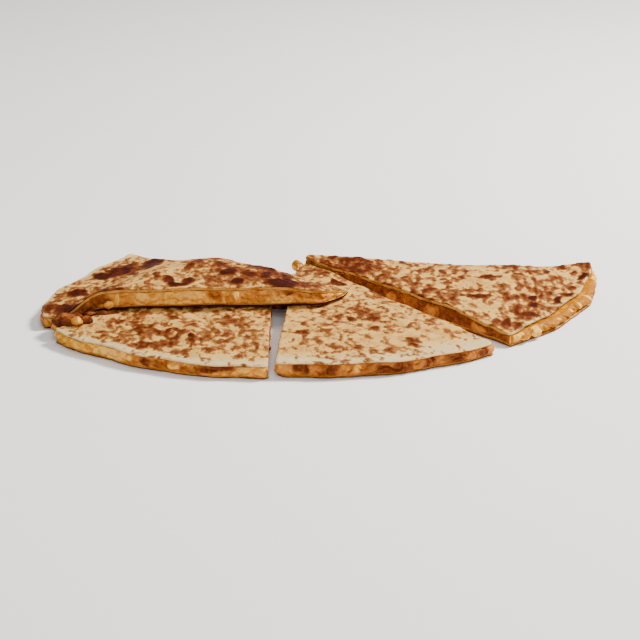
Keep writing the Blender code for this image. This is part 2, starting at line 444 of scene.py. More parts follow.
    def flour_at(self, x: np.ndarray, y: np.ndarray) -> np.ndarray:
        """How much the untoasted border along the rim shows at a place.

        Args:
            x: position along X.
            y: position along Y.

        Returns:
            1 where it hides the toasting and 0 away from the rim.
        """
        inside, across = self.rim_distance(x, y)
        edge = NOISE.layered(flat_points(x, y, 3.0), ((0.011, 0.9), (0.005, 0.5)))
        width = between(self.flour, across)
        return smooth(1.3 - inside / MM / np.maximum(width + 1.6 * edge, 0.4))


BACK_LEFT = Slice(
    name="back_left",
    centre=(0.0120, 0.0080),
    directions=(145.3, 188.3),
    radii=(0.1180, 0.1300),
    tip_first=(0.0120, 0.0075),
    tip_last=(0.0010, -0.0045),
    crown=0.0088,
    rim_heights=(0.0056, 0.0056),
    tip_height=0.0068,
    phase=0.7,
    bows=(0.0018, 0.0),
    fold_heights=(0.0034, 0.0065, 0.0061),
    fold_settle=0.045,
    leaning=True,
    browning=0.385,
    mottling=0.62,
    flour=(3.0, 1.0),
    scorches=(
        # A brown haze over the middle, and a pale line along the crease
        Scorch(-38, 14, 62, 26, 0.10, -20),
        Scorch(-28, 18, 34, 20, 0.13, -25),
        Scorch(-84, 24, 60, 5, -0.12, 60),
        # Two long burns near the rim
        Scorch(-96, 39, 11, 6, 0.80, -70),
        Scorch(-90, 43, 16, 10, 0.55, 90),
        Scorch(-85, 50, 11, 8, 0.40, 85),
        Scorch(-75, 53, 22, 8, 0.85, 80),
        Scorch(-81, 43, 28, 6, 0.20, -85),
        # A crescent in the middle
        Scorch(-69, 11, 9, 4, 0.45, 90),
        Scorch(-64, 3, 12, 4, 0.62, -75),
        Scorch(-60, -3, 8, 6, 0.72),
        Scorch(-56, 1, 11, 4, 0.62, 80),
        # Streaks and spots over the hump
        Scorch(-57, 21, 10, 4, 0.45, 65),
        Scorch(-53, 30, 13, 5, 0.40, 75),
        Scorch(-43, 26, 13, 5, 0.26, 60),
        Scorch(-25, 26, 23, 8, 0.36, -55),
        Scorch(-39, 14, 9, 6, 0.65, 75),
        Scorch(-35, 1, 8, 5, 0.70, 90),
        Scorch(-29, 10, 8, 5, 0.55, -75),
        Scorch(-23, 11, 9, 4, 0.42, 85),
        Scorch(-14, 16, 17, 5, 0.42, 90),
        # The burnt spot by the tip
        Scorch(-16, 1, 14, 12, 1.05, 80),
        Scorch(-4, 3, 20, 9, 0.30, 75),
        # The browned corner
        Scorch(-105, 16, 9, 7, 0.60, 90),
        Scorch(-104, 9, 24, 4, -0.18, 25),
        Scorch(-107, -4, 22, 14, 0.62, -25),
        Scorch(-97, -5, 19, 9, 0.60, 10),
        Scorch(-98, 0, 20, 5, 0.26, 40),
        Scorch(-90, -8, 15, 4, 0.58),
    ),
)
FRONT_LEFT = Slice(
    name="front_left",
    centre=(-0.0145, 0.0571),
    directions=(221.5, 267.2),
    radii=(0.1270, 0.1265),
    tip_first=(-0.0255, 0.0473),
    tip_last=(-0.0210, 0.0500),
    crown=0.0074,
    rim_heights=(0.0062, 0.0058),
    tip_height=0.0068,
    phase=2.1,
    browning=0.385,
    stretch=0.72,
    mottling=0.72,
    flour=(3.0, 8.0),
    scorches=(
        # Faint broad spots, one of them a ring
        Scorch(-71, -31, 10, 9, 0.24, -80),
        Scorch(-60, -36, 9, 7, 0.25, -80, True),
        Scorch(-72, -47, 10, 7, 0.28),
        Scorch(-62, -43, 8, 5, 0.15, -25),
        Scorch(-39, -20, 15, 13, 0.18, -70),
        # Small darker ones
        Scorch(-87, -27, 8, 3, 0.20, -80),
        Scorch(-82, -21, 6, 4, 0.16, -20),
        Scorch(-60, -18, 6, 4, 0.24, -80),
        Scorch(-51, -25, 6, 3, 0.28, 90),
        Scorch(-52, -38, 4, 3, 0.26, 90),
        Scorch(-43, -33, 5, 4, 0.25, 90),
        Scorch(-33, -50, 5, 4, 0.20, 60),
    ),
)
FRONT_MIDDLE = Slice(
    name="front_middle",
    centre=(-0.0080, 0.0594),
    directions=(265.6, 308.2),
    radii=(0.1270, 0.1285),
    tip_first=(-0.0098, 0.0570),
    tip_last=(-0.0046, 0.0575),
    crown=0.0075,
    rim_heights=(0.0067, 0.0054),
    tip_height=0.0062,
    phase=3.9,
    bows=(0.0, 0.0038),
    browning=0.365,
    stretch=0.80,
    mottling=0.72,
    flour=(9.0, 11.0),
    upper_corners=(1.6, 4.6),
    lower_corners=(6.0, 2.0),
    scorches=(
        # By the tip
        Scorch(8, 26, 11, 5, 0.57, -70),
        Scorch(0, 42, 11, 7, 0.24, -50),
        Scorch(-6, 47, 17, 6, 0.24, 90),
        # Small spots towards the rim
        Scorch(14, -20, 5, 4, 0.42, 90),
        Scorch(23, -17, 8, 6, 0.22, 90),
        Scorch(23, -30, 6, 4, 0.26, 80),
        Scorch(-6, -34, 9, 6, 0.26, -15),
        Scorch(-11, -44, 6, 3, 0.26, 90),
        Scorch(38, -43, 10, 5, 0.28, 80),
        Scorch(24, -55, 8, 5, 0.20, 10),
    ),
)
RIGHT = Slice(
    name="right",
    centre=(-0.0050, 0.0619),
    directions=(358.1, 311.4),
    radii=(0.1270, 0.1248),
    tip_first=(-0.0040, 0.0655),
    tip_last=(-0.0066, 0.0602),
    crown=0.0086,
    rim_heights=(0.0056, 0.0056),
    tip_height=0.0078,
    phase=5.2,
    bows=(0.0024, 0.0),
    fold_heights=(0.0088, 0.0060, 0.0078),
    fold_settle=0.085,
    lower_reach=0.0026,
    browning=0.465,
    stretch=0.56,
    mottling=0.9,
    flour=(0.5, 1.2),
    upper_pull=0.0024,
    scorches=(
        # The brown end by the tip
        Scorch(13, 44, 36, 28, 0.22, -45),
        # A pale ring round a brown spot, and a pale stretch beside it
        Scorch(74, 32, 18, 17, -0.26, 0, True),
        Scorch(74, 32, 11, 9, 0.22),
        Scorch(66, 21, 16, 11, -0.22, 10),
        # A burnt slash at the fold's corner
        Scorch(118, 40, 9, 3, 1.15, 50),
        # Dark spots towards the rim
        Scorch(101, 42, 8, 3, 0.48, 90),
        Scorch(112, 24, 8, 3, 0.45, 60),
        Scorch(109, 14, 8, 4, 0.42, 60),
        Scorch(104, 8, 8, 4, 0.50, 75),
        Scorch(92, 8, 7, 4, 0.60, 80),
        Scorch(93, 0, 5, 3, 0.42, 80),
        Scorch(86, 19, 7, 4, 0.42, 80),
        Scorch(86, -10, 7, 5, 0.42, 90),
        Scorch(78, -22, 11, 4, 0.75, 80),
        # Narrow spots in the middle
        Scorch(43, 6, 8, 4, 0.38, 85),
        Scorch(67, 7, 13, 4, 0.42),
        Scorch(54, 40, 7, 4, 0.32, 80),
        # Paler by the two rim corners
        Scorch(90, -27, 8, 6, -0.24),
        Scorch(113, 47, 9, 4, -0.16, 60),
    ),
)
SLICES = (BACK_LEFT, FRONT_LEFT, FRONT_MIDDLE, RIGHT)


# ---------------------------------------------------------------------------------------------------
# Finishes
# ---------------------------------------------------------------------------------------------------


def linear(red: int, green: int, blue: int) -> tuple[float, float, float, float]:
    """A colour of 0 to 255 as the linear colour that a shader takes."""
    parts = [v / 255.0 for v in (red, green, blue)]
    return (*(v / 12.92 if v <= 0.04045 else ((v + 0.055) / 1.055) ** 2.4 for v in parts), 1.0)


def connect(tree: bpy.types.NodeTree, node: bpy.types.Node, inputs: dict) -> None:
    """Sets inputs of a node.

    Args:
        tree: the node's tree.
        node: the node.
        inputs: a value, or a socket to link, for each input by its name or number.
    """
    for key, value in inputs.items():
        if isinstance(value, bpy.types.NodeSocket):
            tree.links.new(value, node.inputs[key])
        else:
            node.inputs[key].default_value = value


def add_node(tree: bpy.types.NodeTree, kind: str, inputs: dict | None, settings: dict) -> bpy.types.Node:
    """Adds a node, to the right of or below the ones before it.

    Args:
        tree: where it goes.
        kind: the node's type.
        inputs: a value, or a socket to link, for each input by its name or number.
        settings: the node's own options.

    Returns:
        The node.
    """
    row, column = divmod(len(tree.nodes), 8)
    node = tree.nodes.new(kind)
    node.location = (190 * column, -260 * row)
    for key, value in settings.items():
        setattr(node, key, value)
    connect(tree, node, inputs or {})
    return node


class NodeSheet:
    """Builds the nodes of one material."""

    def __init__(self, name: str) -> None:
        """Makes an empty material.

        Args:
            name: of the material.
        """
        self.material = bpy.data.materials.new(name)
        self.material.use_nodes = True
        self.tree = self.material.node_tree
        self.shader = self.tree.nodes["Principled BSDF"]

    def add(self, kind: str, inputs: dict | None = None, **settings: object) -> bpy.types.Node:
        """Adds a node.

        Args:
            kind: the node's type.
            inputs: a value, or a socket to link, for each input by its name or number.
            settings: the node's own options.

        Returns:
            The node.
        """
        return add_node(self.tree, kind, inputs, settings)

    def attribute(self, name: str) -> bpy.types.NodeSocket:
        """A value stored on the mesh."""
        return self.add("ShaderNodeAttribute", attribute_name=name).outputs["Fac"]

    def noise(
        self, length: float, detail: float = 2.0, stretch: tuple = (1.0, 1.0, 1.0)
    ) -> bpy.types.NodeSocket:
        """Noise on the object's own coordinates.

        Args:
            length: the size of one swelling.
            detail: how many finer noises are added.
            stretch: scale of the pattern along each axis.

        Returns:
            A value of about 0 to 1.
        """
        place = self.add("ShaderNodeTexCoord").outputs["Object"]
        moved = self.add("ShaderNodeMapping", {"Vector": place, "Scale": stretch}).outputs["Vector"]
        inputs = {"Vector": moved, "Scale": 1.0 / length, "Detail": detail, "Roughness": 0.55}
        return self.add("ShaderNodeTexNoise", inputs).outputs["Fac"]

    def maths(self, operation: str, *values: object) -> bpy.types.NodeSocket:
        """The result of one operation on two or three values."""
        return self.add("ShaderNodeMath", dict(enumerate(values)), operation=operation).outputs[0]

    def stirred(
        self, value: bpy.types.NodeSocket, noise: bpy.types.NodeSocket, weight: float
    ) -> bpy.types.NodeSocket:
        """A value with noise of 0 to 1 laid over it, up and down by half the weight."""
        return self.maths("MULTIPLY_ADD", self.maths("SUBTRACT", noise, 0.5), weight, value)

    def remap(self, value: object, *ends: float, even: bool = False) -> bpy.types.NodeSocket:
        """A value taken from one range to another.

        Args:
            value: the socket.
            ends: the range it comes from and, unless that is 0 to 1, the range it goes to.
            even: goes evenly instead of smoothly.

        Returns:
            The new value.
        """
        names = ("From Min", "From Max", "To Min", "To Max")
        inputs = {"Value": value, **dict(zip(names, ends))}
        kind = "LINEAR" if even else "SMOOTHSTEP"
        return self.add("ShaderNodeMapRange", inputs, interpolation_type=kind).outputs[0]

    def ramp(self, value: object, stops: tuple) -> bpy.types.NodeSocket:
        """Colours along a value.

        Args:
            value: from 0 to 1.
            stops: a position and a colour for each stop.

        Returns:
            The colour.
        """
        node = self.add("ShaderNodeValToRGB", {0: value})
        elements = node.color_ramp.elements
        while len(elements) < len(stops):
            elements.new(0.5)
        for element, (position, colour) in zip(elements, stops):
            element.position, element.color = position, colour
        return node.outputs["Color"]

    def mix(self, factor: object, first: object, second: object) -> bpy.types.NodeSocket:
        """A colour between two others."""
        inputs = {0: factor, 6: first, 7: second}
        return self.add("ShaderNodeMix", inputs, data_type="RGBA").outputs[2]

    def bumps(self, *layers: tuple[object, float, float]) -> None:
        """Adds relief to the shader's normal.

        Args:
            layers: the height, its strength and its distance for each bump.
        """
        normal = None
        for height, strength, distance in layers:
            inputs = {"Height": height, "Strength": strength, "Distance": distance}
            if normal is not None:
                inputs["Normal"] = normal
            normal = self.add("ShaderNodeBump", inputs).outputs["Normal"]
        self.tree.links.new(normal, self.shader.inputs["Normal"])

    def finish(self, colour: object, roughness: object, **values: object) -> bpy.types.Material:
        """Sets the shader.

        Args:
            colour: the base colour.
            roughness: a value or a socket.
            values: the shader's other inputs, with _ for a space.

        Returns:
            The material.
        """
        others = {key.replace("_", " "): value for key, value in values.items()}
        connect(self.tree, self.shader, {"Base Color": colour, "Roughness": roughness, **others})
        return self.material


@dataclass(frozen=True)
class ToastedTortilla:
    """The finish of the tortilla: cream dough with browned spots, a floury rim and pale cut edges."""

    name: str = "toasted_tortilla"
    cream: tuple = linear(206, 162, 86)
    cream_warm: tuple = linear(178, 128, 64)
    blister_rim: tuple = linear(222, 182, 106)
    floury: tuple = linear(206, 184, 136)
    tan: tuple = linear(150, 96, 44)
    brown: tuple = linear(114, 64, 30)
    dark: tuple = linear(84, 32, 8)
    char: tuple = linear(54, 14, 4)
    crumb: tuple = linear(206, 150, 74)
    crumb_warm: tuple = linear(168, 104, 38)

    def make(self) -> bpy.types.Material:
        """Builds the material.

        Returns:
            The material.
        """
        sheet = NodeSheet(self.name)
        grain = sheet.noise(0.0011, 3.0)
        speck = sheet.noise(0.00045, 2.0)
        clouds = sheet.noise(0.0065, 3.0)
        spots = sheet.noise(0.0021, 2.5, (1.0, 0.66, 1.0))
        # The toasting value also holds painted shade: the lower layers' edges carry a dark value that stands
        # for the contact shadow at each slice's foot.
        heat = sheet.stirred(sheet.attribute("toasting"), spots, 0.72)
        heat = sheet.stirred(heat, grain, 0.30)
        stops = (
            (0.0, self.cream_warm), (0.16, self.tan), (0.29, self.brown),
            (0.52, self.dark), (0.92, self.char),
        )
        toasted = sheet.ramp(sheet.remap(heat, 0.30, 1.10, even=True), stops)
        plain = sheet.mix(sheet.remap(clouds, 0.40, 0.66), self.cream, self.cream_warm)
        plain = sheet.mix(sheet.remap(heat, 0.14, 0.28, 0.0, 0.32), plain, self.blister_rim)
        colour = sheet.mix(sheet.remap(heat, 0.24, 0.43), plain, toasted)
        flour = sheet.maths("MULTIPLY", sheet.attribute("flour"), sheet.remap(heat, 0.26, 0.46, 0.80, 0.05))
        colour = sheet.mix(flour, colour, self.floury)
        inside = sheet.mix(sheet.remap(clouds, 0.4, 0.65), self.crumb, self.crumb_warm)
        colour = sheet.mix(sheet.attribute("crumb"), colour, inside)
        raised = sheet.remap(heat, 0.34, 0.56)
        sheet.bumps((raised, 0.45, 0.0006), (grain, 0.35, 0.0003), (speck, 0.25, 0.00015))
        roughness = sheet.remap(heat, 0.4, 0.8, 0.66, 0.50)
        return sheet.finish(
            colour, roughness, Specular_IOR_Level=0.03, Subsurface_Weight=0.06, Subsurface_Scale=0.002
        )


class Cheese(Enum):
    """How one stretch of the filling looks, as its place on the cheese's colour scale."""

    DEEP_YOLK = 0.0
    YOLK = 0.14
    PALE = 0.30
    GOLDEN = 0.46
    AMBER = 0.56
    ORANGE = 0.66
    SAUCE = 0.85
    MEAT = 1.0
    SEARED = 1.13


@dataclass(frozen=True)
class MeltedCheese:
    """The finish of the filling: glossy melted cheese, yellow, pale or orange, with sauce and meat in it."""

    name: str = "cheese_filling"
    deep_yolk: tuple = linear(160, 98, 0)
    yolk: tuple = linear(212, 140, 0)
    pale: tuple = linear(242, 186, 90)
    golden: tuple = linear(214, 146, 48)
    orange: tuple = linear(184, 108, 36)
    sauce: tuple = linear(144, 78, 22)
    meat: tuple = linear(100, 40, 4)
    seared: tuple = linear(60, 22, 4)
    reach: float = 1.25  # the tint of the darkest colour

    def make(self) -> bpy.types.Material:
        """Builds the material.

        Returns:
            The material.
        """
        sheet = NodeSheet(self.name)
        swirl = sheet.noise(0.0030, 3.0)
        fleck = sheet.noise(0.0013, 2.0)
        grain = sheet.noise(0.0006, 2.0)
        tint = sheet.stirred(sheet.attribute("tint"), swirl, 0.45)
        tint = sheet.stirred(tint, fleck, 0.32)
        stops = (
            (0.0, self.deep_yolk), (0.14, self.yolk), (0.30, self.pale), (0.46, self.golden),
            (0.66, self.orange), (0.84, self.sauce), (1.0, self.meat), (self.reach, self.seared),
        )
        scaled = tuple((place / self.reach, look) for place, look in stops)
        colour = sheet.ramp(sheet.maths("DIVIDE", tint, self.reach), scaled)
        sheet.bumps((swirl, 0.5, 0.0008), (fleck, 0.45, 0.0005), (grain, 0.35, 0.0002))
        roughness = sheet.remap(fleck, 0.3, 0.7, 0.34, 0.60)
        return sheet.finish(
            colour, roughness, Specular_IOR_Level=0.10, Subsurface_Weight=0.05, Subsurface_Scale=0.001
        )


@dataclass(frozen=True)
class SearedMeat:
    """The finish of the meat: reddish-brown and moist, with painted shade that darkens its hollows."""

    name: str = "seared_meat"
    light: tuple = linear(138, 70, 22)
    brown: tuple = linear(96, 42, 10)
    dark: tuple = linear(58, 22, 4)

    def make(self) -> bpy.types.Material:
        """Builds the material.

        Returns:
            The material.
        """
        sheet = NodeSheet(self.name)
        fibre = sheet.noise(0.0012, 3.0, (1.0, 1.0, 2.2))
        # Painted shade: the colour follows the same noise as the bump, so the low places are darkest.
        colour = sheet.ramp(fibre, ((0.3, self.dark), (0.5, self.brown), (0.72, self.light)))
        sheet.bumps((fibre, 0.5, 0.0005))
        return sheet.finish(
            colour, 0.42, Specular_IOR_Level=0.25, Subsurface_Weight=0.05, Subsurface_Scale=0.002
        )


@dataclass(frozen=True)
class ToastCrumb:
    """The finish of the loose crumbs: dry dough, from golden to burnt."""

    name: str = "toast_crumb"
    golden: tuple = linear(160, 108, 48)
    burnt: tuple = linear(70, 34, 18)

    def make(self) -> bpy.types.Material:
        """Builds the material.

        Returns:
            The material.
        """
        sheet = NodeSheet(self.name)
        patch = sheet.noise(0.0040, 2.0)
        grain = sheet.noise(0.0003, 1.0)
        colour = sheet.ramp(patch, ((0.42, self.golden), (0.60, self.burnt)))
        sheet.bumps((grain, 0.4, 0.0002))
        return sheet.finish(colour, 0.75)


# ---------------------------------------------------------------------------------------------------
# Meshes
# ---------------------------------------------------------------------------------------------------


def added(name: str, data: bpy.types.ID) -> bpy.types.Object:
    """A new object in the scene, of a mesh, a light or a camera.

    Args:
        name: of the object.
        data: what it is made of.

    Returns:
        The object.
    """
    made = bpy.data.objects.new(name, data)
    bpy.context.collection.objects.link(made)
    return made


def points_of(mesh: bpy.types.Mesh) -> np.ndarray:
    """The positions of a mesh's points.

    Args:
        mesh: the mesh.

    Returns:
        One row of x, y and z for each point.
    """
    spots = np.empty(len(mesh.vertices) * 3)
    mesh.vertices.foreach_get("co", spots)
    return spots.reshape(-1, 3)


@dataclass
class Form:
    """A mesh under construction: points, faces and the values stored at the points."""

    points: np.ndarray
    faces: list[tuple[int, ...]]
    values: dict[str, np.ndarray] = field(default_factory=dict)

    def mesh(self, name: str) -> bpy.types.Mesh:
        """A mesh of the points and faces that stores the values.

        Args:
            name: of the mesh.

        Returns:
            The mesh.
        """
        mesh = bpy.data.meshes.new(name)
        mesh.from_pydata(self.points.tolist(), [], self.faces)
        for key, value in self.values.items():
            stored = mesh.attributes.new(key, "FLOAT", "POINT")
            stored.data.foreach_set("value", np.asarray(value, np.float32))
        return mesh

    def make(self, name: str, material: bpy.types.Material) -> bpy.types.Object:
        """Turns it into an object with its faces pointing outwards.

        Args:
            name: of the object.
            material: for all its faces.

        Returns:
            The object.
        """
        mesh = self.mesh(name)
        form = bmesh.new()
        form.from_mesh(mesh)
        bmesh.ops.recalc_face_normals(form, faces=form.faces[:])
        form.to_mesh(mesh)
        form.free()
        mesh.materials.append(material)
        mesh.shade_smooth()
        return added(name, mesh)


def strip_faces(index: np.ndarray) -> list[tuple[int, ...]]:
    """Faces between the neighbouring rows and columns of a grid of point numbers."""
    corners = (index[:-1, :-1], index[:-1, 1:], index[1:, 1:], index[1:, :-1])
    return [tuple(face) for face in np.stack([c.ravel() for c in corners], axis=1).tolist()]


def tube_faces(index: np.ndarray) -> list[tuple[int, ...]]:
    """Faces between closed loops of point numbers, one loop in each row."""
    return strip_faces(np.concatenate([index, index[:, :1]], axis=1))


def fan_faces(centre: int, loop: np.ndarray) -> list[tuple[int, ...]]:
    """Faces between one point and a closed loop of point numbers."""
    return [(centre, a, b) for a, b in zip(loop.tolist(), np.roll(loop, -1).tolist())]


def border_of(index: np.ndarray) -> np.ndarray:
    """The point numbers round the border of a grid."""
    return np.concatenate([index[0, :-1], index[:-1, -1], index[-1, :0:-1], index[:0:-1, 0]])


def outward(loop: np.ndarray) -> np.ndarray:
    """Level directions that point out of a closed loop of points.

    Args:
        loop: the points, in order.

    Returns:
        A direction of length 1 for each point.
    """
    way = np.roll(loop, -2, axis=0) - np.roll(loop, 2, axis=0)
    normal = np.stack([way[:, 1], -way[:, 0]], axis=1)
    following = np.roll(loop, -1, axis=0)
    area = np.sum(loop[:, 0] * following[:, 1] - following[:, 0] * loop[:, 1])
    normal *= np.sign(area) / np.maximum(np.linalg.norm(normal, axis=1, keepdims=True), 1e-9)
    return np.concatenate([normal, np.zeros((len(loop), 1))], axis=1)


# ---------------------------------------------------------------------------------------------------
# The tortilla
# ---------------------------------------------------------------------------------------------------


class Layer(Enum):
    """Which part of a slice's tortilla is made."""

    UPPER = "top_tortilla"
    LOWER = "bottom_tortilla"
    FOLDED = "tortilla"


@dataclass(frozen=True)
class Tortilla:
    """One layer of an inner slice, or the folded tortilla of an outer one."""

    part: Slice
    layer: Layer
    material: bpy.types.Material
    rings: int = 190
    upper_rows: int = 140
    lower_rows: int = 44
    lower_grid: tuple[int, int] = (90, 90)  # rings and rows of a separate lower layer
    nose_steps: int = 12
    edge_steps: int = 3
    edge_round: float = 0.00028  # how far the middle of an edge stands out
    edge_drop: float = 0.00022  # how far a layer's outer side drops at its edge
    rim_thinning: float = 0.45  # share of its thickness that a layer loses at the rim
    rim_reach: float = 0.0040  # how far in from the rim it starts to lose it
    tear: float = 0.00030  # how far an edge strays from its line
    blister: float = 0.00036  # height of the toasted blisters
    blister_from: tuple[float, float] = (0.44, 0.25)  # toasting where they start, and until they are full
    uneven: tuple = ((0.0090, 0.00018), (0.0034, 0.00012))  # length and height of its own unevenness
    flour_paling: float = 0.10  # how much less toasted it is under flour

    @property
    def name(self) -> str:
        """The name of the CAD node that it stands for."""
        return f"{self.part.name}_{self.layer.value}"

    def thickness(self, out: np.ndarray) -> np.ndarray:
        """Thickness of the layer, which thins out towards the rim."""
        length = 0.5 * sum(self.part.radii)
        return SHEET * (1.0 - self.rim_thinning * smooth((out - 1.0) * length / self.rim_reach + 1.0))

    def strayed(self, x: np.ndarray, y: np.ndarray, out: np.ndarray, across: np.ndarray) -> tuple:
        """Moves the points near a slice's edges a little, as a cut or torn edge does.

        Args:
            x: position along X.
            y: position along Y.
            out: from the tip to the rim.
            across: from the first edge to the last.

        Returns:
            The moved x and y.
        """
        width = self.part.edge_width(out)
        middle = self.part.tip_to_rim(out, np.full_like(across, 0.5), 0.0)
        way = np.stack([x, y]) - middle
        way /= np.maximum(np.linalg.norm(way, axis=0), 1e-6)
        near = smooth(1.0 - np.minimum(across, 1.0 - across) * width / 0.003)
        if self.layer is Layer.FOLDED:
            near = near * smooth(4.0 * across)
        spot = flat_points(x, y, self.part.phase + 2.0)
        amount = self.tear * NOISE.layered(spot, ((0.0060, 0.9), (0.0026, 0.5))) * near
        radial = np.stack([x - self.part.centre[0], y - self.part.centre[1]])
        radial /= np.linalg.norm(radial, axis=0)
        at_rim = smooth((out - 0.96) / 0.04)
        rim = 1.3 * self.tear * NOISE.layered(spot + 0.3, ((0.0090, 0.9), (0.0035, 0.5))) * at_rim
        return x + amount * way[0] + rim * radial[0], y + amount * way[1] + rim * radial[1]

    def side(self, sign: float, inset: np.ndarray, rows: int) -> tuple[np.ndarray, dict[str, np.ndarray]]:
        """Points of one half of a folded layer, above or below the middle of the fold.

        Args:
            sign: 1 for the upper half, -1 for the lower.
            inset: how far the points lie inside the tortilla's outer surface, for each ring.
            rows: steps across the level part.

        Returns:
            The points and where they lie on the slice.
        """
        part = self.part
        out = np.linspace(0.0, 1.0, self.rings + 1)[:, None]
        turn = np.radians(np.linspace(0.0, 90.0, self.nose_steps + 1))
        width = part.edge_width(out)
        depth = np.minimum(FOLD_DEPTH, 0.5 * width)
        hollow = np.maximum(depth - inset, 0.3 * depth)
        nose = (depth - hollow * np.cos(turn)) / width
        level = nose[:, -1:] + (1.0 - nose[:, -1:]) * np.linspace(0.0, 1.0, rows + 1)[1:]
        across = np.concatenate([nose, level], axis=1)
        out = np.broadcast_to(out, across.shape)
        bend = np.broadcast_to(np.concatenate([np.sin(turn), np.ones(rows)]), across.shape)
        reach = part.lower_reach * smooth(4.0 * across) * smooth(4.0 * (1.0 - across)) * (sign < 0.0)
        x, y = part.place(out, across, reach)
        low, high = part.underside(x, y), part.upper_height(out, across, x, y)
        middle, half = 0.5 * (low + high), 0.5 * (high - low)
        z = middle + sign * bend * (half - inset)
        return np.stack([x, y, z], axis=-1), {"out": out, "across": across, "bend": bend}

    def surfaces(self) -> tuple[np.ndarray, np.ndarray, dict[str, np.ndarray]]:
        """The outer and the inner surface, as grids of points that face each other.

        Returns:
            The outer points, the inner points, and where the outer points lie on the slice.
        """
        part = self.part
        if self.layer is Layer.FOLDED:
            grids = []
            thick = self.thickness(np.linspace(0.0, 1.0, self.rings + 1)[:, None])
            for inset in (np.zeros_like(thick), thick):
                lower, below = self.side(-1.0, inset, self.lower_rows)
                upper, above = self.side(1.0, inset, self.upper_rows)
                below["up"], above["up"] = np.zeros(below["out"].shape), np.ones(above["out"].shape)
                joined = {k: np.concatenate([below[k][:, ::-1], above[k][:, 1:]], axis=1) for k in above}
                grids.append((np.concatenate([lower[:, ::-1], upper[:, 1:]], axis=1), joined))
            return grids[0][0], grids[1][0], grids[0][1]
        rings, rows = (self.rings, self.upper_rows) if self.layer is Layer.UPPER else self.lower_grid
        out = np.broadcast_to(np.linspace(0.0, 1.0, rings + 1)[:, None], (rings + 1, rows + 1))
        across = np.broadcast_to(np.linspace(0.0, 1.0, rows + 1), out.shape)
        x, y = part.place(out, across)
        thick = self.thickness(out)
        if self.layer is Layer.UPPER:
            outer = part.upper_height(out, across, x, y)
            inner, up = outer - thick, 1.0
        else:
            outer, inner, up = np.zeros_like(x), thick, 0.0
        where = {"out": out, "across": across, "bend": np.ones_like(x), "up": np.full_like(x, up)}
        return np.stack([x, y, outer], axis=-1), np.stack([x, y, inner], axis=-1), where

    def shape_edges(self, grid: np.ndarray, where: dict[str, np.ndarray]) -> None:
        """Roughens the edges of a surface and draws in its rim, in place.

        Args:
            grid: the points of the surface.
            where: where they lie on the slice.
        """
        part, out, across = self.part, where["out"], where["across"]
        grid[..., 0], grid[..., 1] = self.strayed(grid[..., 0], grid[..., 1], out, across)
        if self.layer is Layer.LOWER:
            grid[..., :2] = np.stack(part.rounded(grid[..., 0], grid[..., 1], out, across, False), -1)
            return
        upper = part.rounded(grid[..., 0], grid[..., 1], out, across, True, part.upper_pull)
        share = where["up"] * smooth(4.0 * across) if self.layer is Layer.FOLDED else where["up"]
        grid[..., :2] += share[..., None] * (np.stack(upper, -1) - grid[..., :2])

    def edge_loops(self, start: np.ndarray, end: np.ndarray) -> list[np.ndarray]:
        """Loops of points down the edge, which stands out a little and unevenly.

        Args:
            start: the border of the outer surface.
            end: the border of the inner surface.

        Returns:
            The points of each loop.
        """
        away = outward(start)
        loops = []
        for step in range(1, self.edge_steps + 1):
            share = step / (self.edge_steps + 1.0)
            ragged = 0.6 + 0.5 * NOISE.at(start + 0.004 * step, 0.0022)
            stand = self.edge_round * math.sin(math.pi * share) * ragged
            loops.append(between((start, end), share) + away * stand[:, None])
        return loops

    def build(self) -> bpy.types.Object:
        """Makes the piece.

        Returns:
            The piece's object.
        """
        outer, inner, where = self.surfaces()
        flour = self.part.flour_at(outer[..., 0], outer[..., 1]) * where["up"]
        heat = self.part.heat(outer[..., 0], outer[..., 1]) - self.flour_paling * flour
        blisters = self.blister * smooth((heat - self.blister_from[0]) / self.blister_from[1])
        relief = (blisters + NOISE.layered(outer, self.uneven)) * where["bend"] * where["up"]
        for grid in (outer, inner):
            self.shape_edges(grid, where)
        outer[..., 2] += relief
        top = np.arange(heat.size).reshape(heat.shape)
        around = border_of(top)
        up, bend, out = (where[key].ravel()[around] for key in ("up", "bend", "out"))
        outer.reshape(-1, 3)[around, 2] += self.edge_drop * (1.0 - 2.0 * up) * bend
        loops = self.edge_loops(outer.reshape(-1, 3)[around], inner.reshape(-1, 3)[around])
        rungs = top.size + np.arange(len(loops) * len(around)).reshape(len(loops), -1)
        offset = top.size + rungs.size
        ladder = np.concatenate([[around], rungs, [around + offset]])
        faces = strip_faces(top) + strip_faces(top + offset) + tube_faces(ladder)
        points = np.concatenate([outer.reshape(-1, 3), *loops, inner.reshape(-1, 3)])
        at_rim = smooth((out - 0.985) / 0.01)
        # Painted shade: the lower layer's edge gets a dark toasting, charred and without pale crumb under the
        # leaning slice. This stands in for the contact shadow along each slice's foot. The upper layer's edge
        # keeps its own toasting.
        under, bare = (1.10, 0.0) if self.part.leaning else (0.75, 0.12)
        edge_toast_and_foot_shade = np.where(up > 0.5, heat.ravel()[around] - 0.05, under)
        edge_flour = flour.ravel()[around] * at_rim * 0.8
        edge_crumb = (1.0 - at_rim) * np.where(up > 0.5, 1.0, bare)
        parts = {
            "toasting": (heat, edge_toast_and_foot_shade, 0.3),
            "flour": (flour, edge_flour, 0.0),
            "crumb": (np.zeros(heat.shape), edge_crumb, 1.0),
        }
        values = {
            key: np.concatenate([outside.ravel(), np.tile(edge, len(loops)), np.full(top.size, inside)])
            for key, (outside, edge, inside) in parts.items()
        }
        return Form(points, faces, values).make(f"{self.name}_baked", self.material)


# ---------------------------------------------------------------------------------------------------
# The filling
# ---------------------------------------------------------------------------------------------------


class Side(Enum):
    """One side of a slice's outline."""

    FIRST = 0
    RIM = 1
    LAST = 2
    TIP = 3


# Usual length of each side, in millimetres
SIDE_LENGTHS = {Side.FIRST: 122.0, Side.RIM: 92.0, Side.LAST: 122.0, Side.TIP: 10.0}


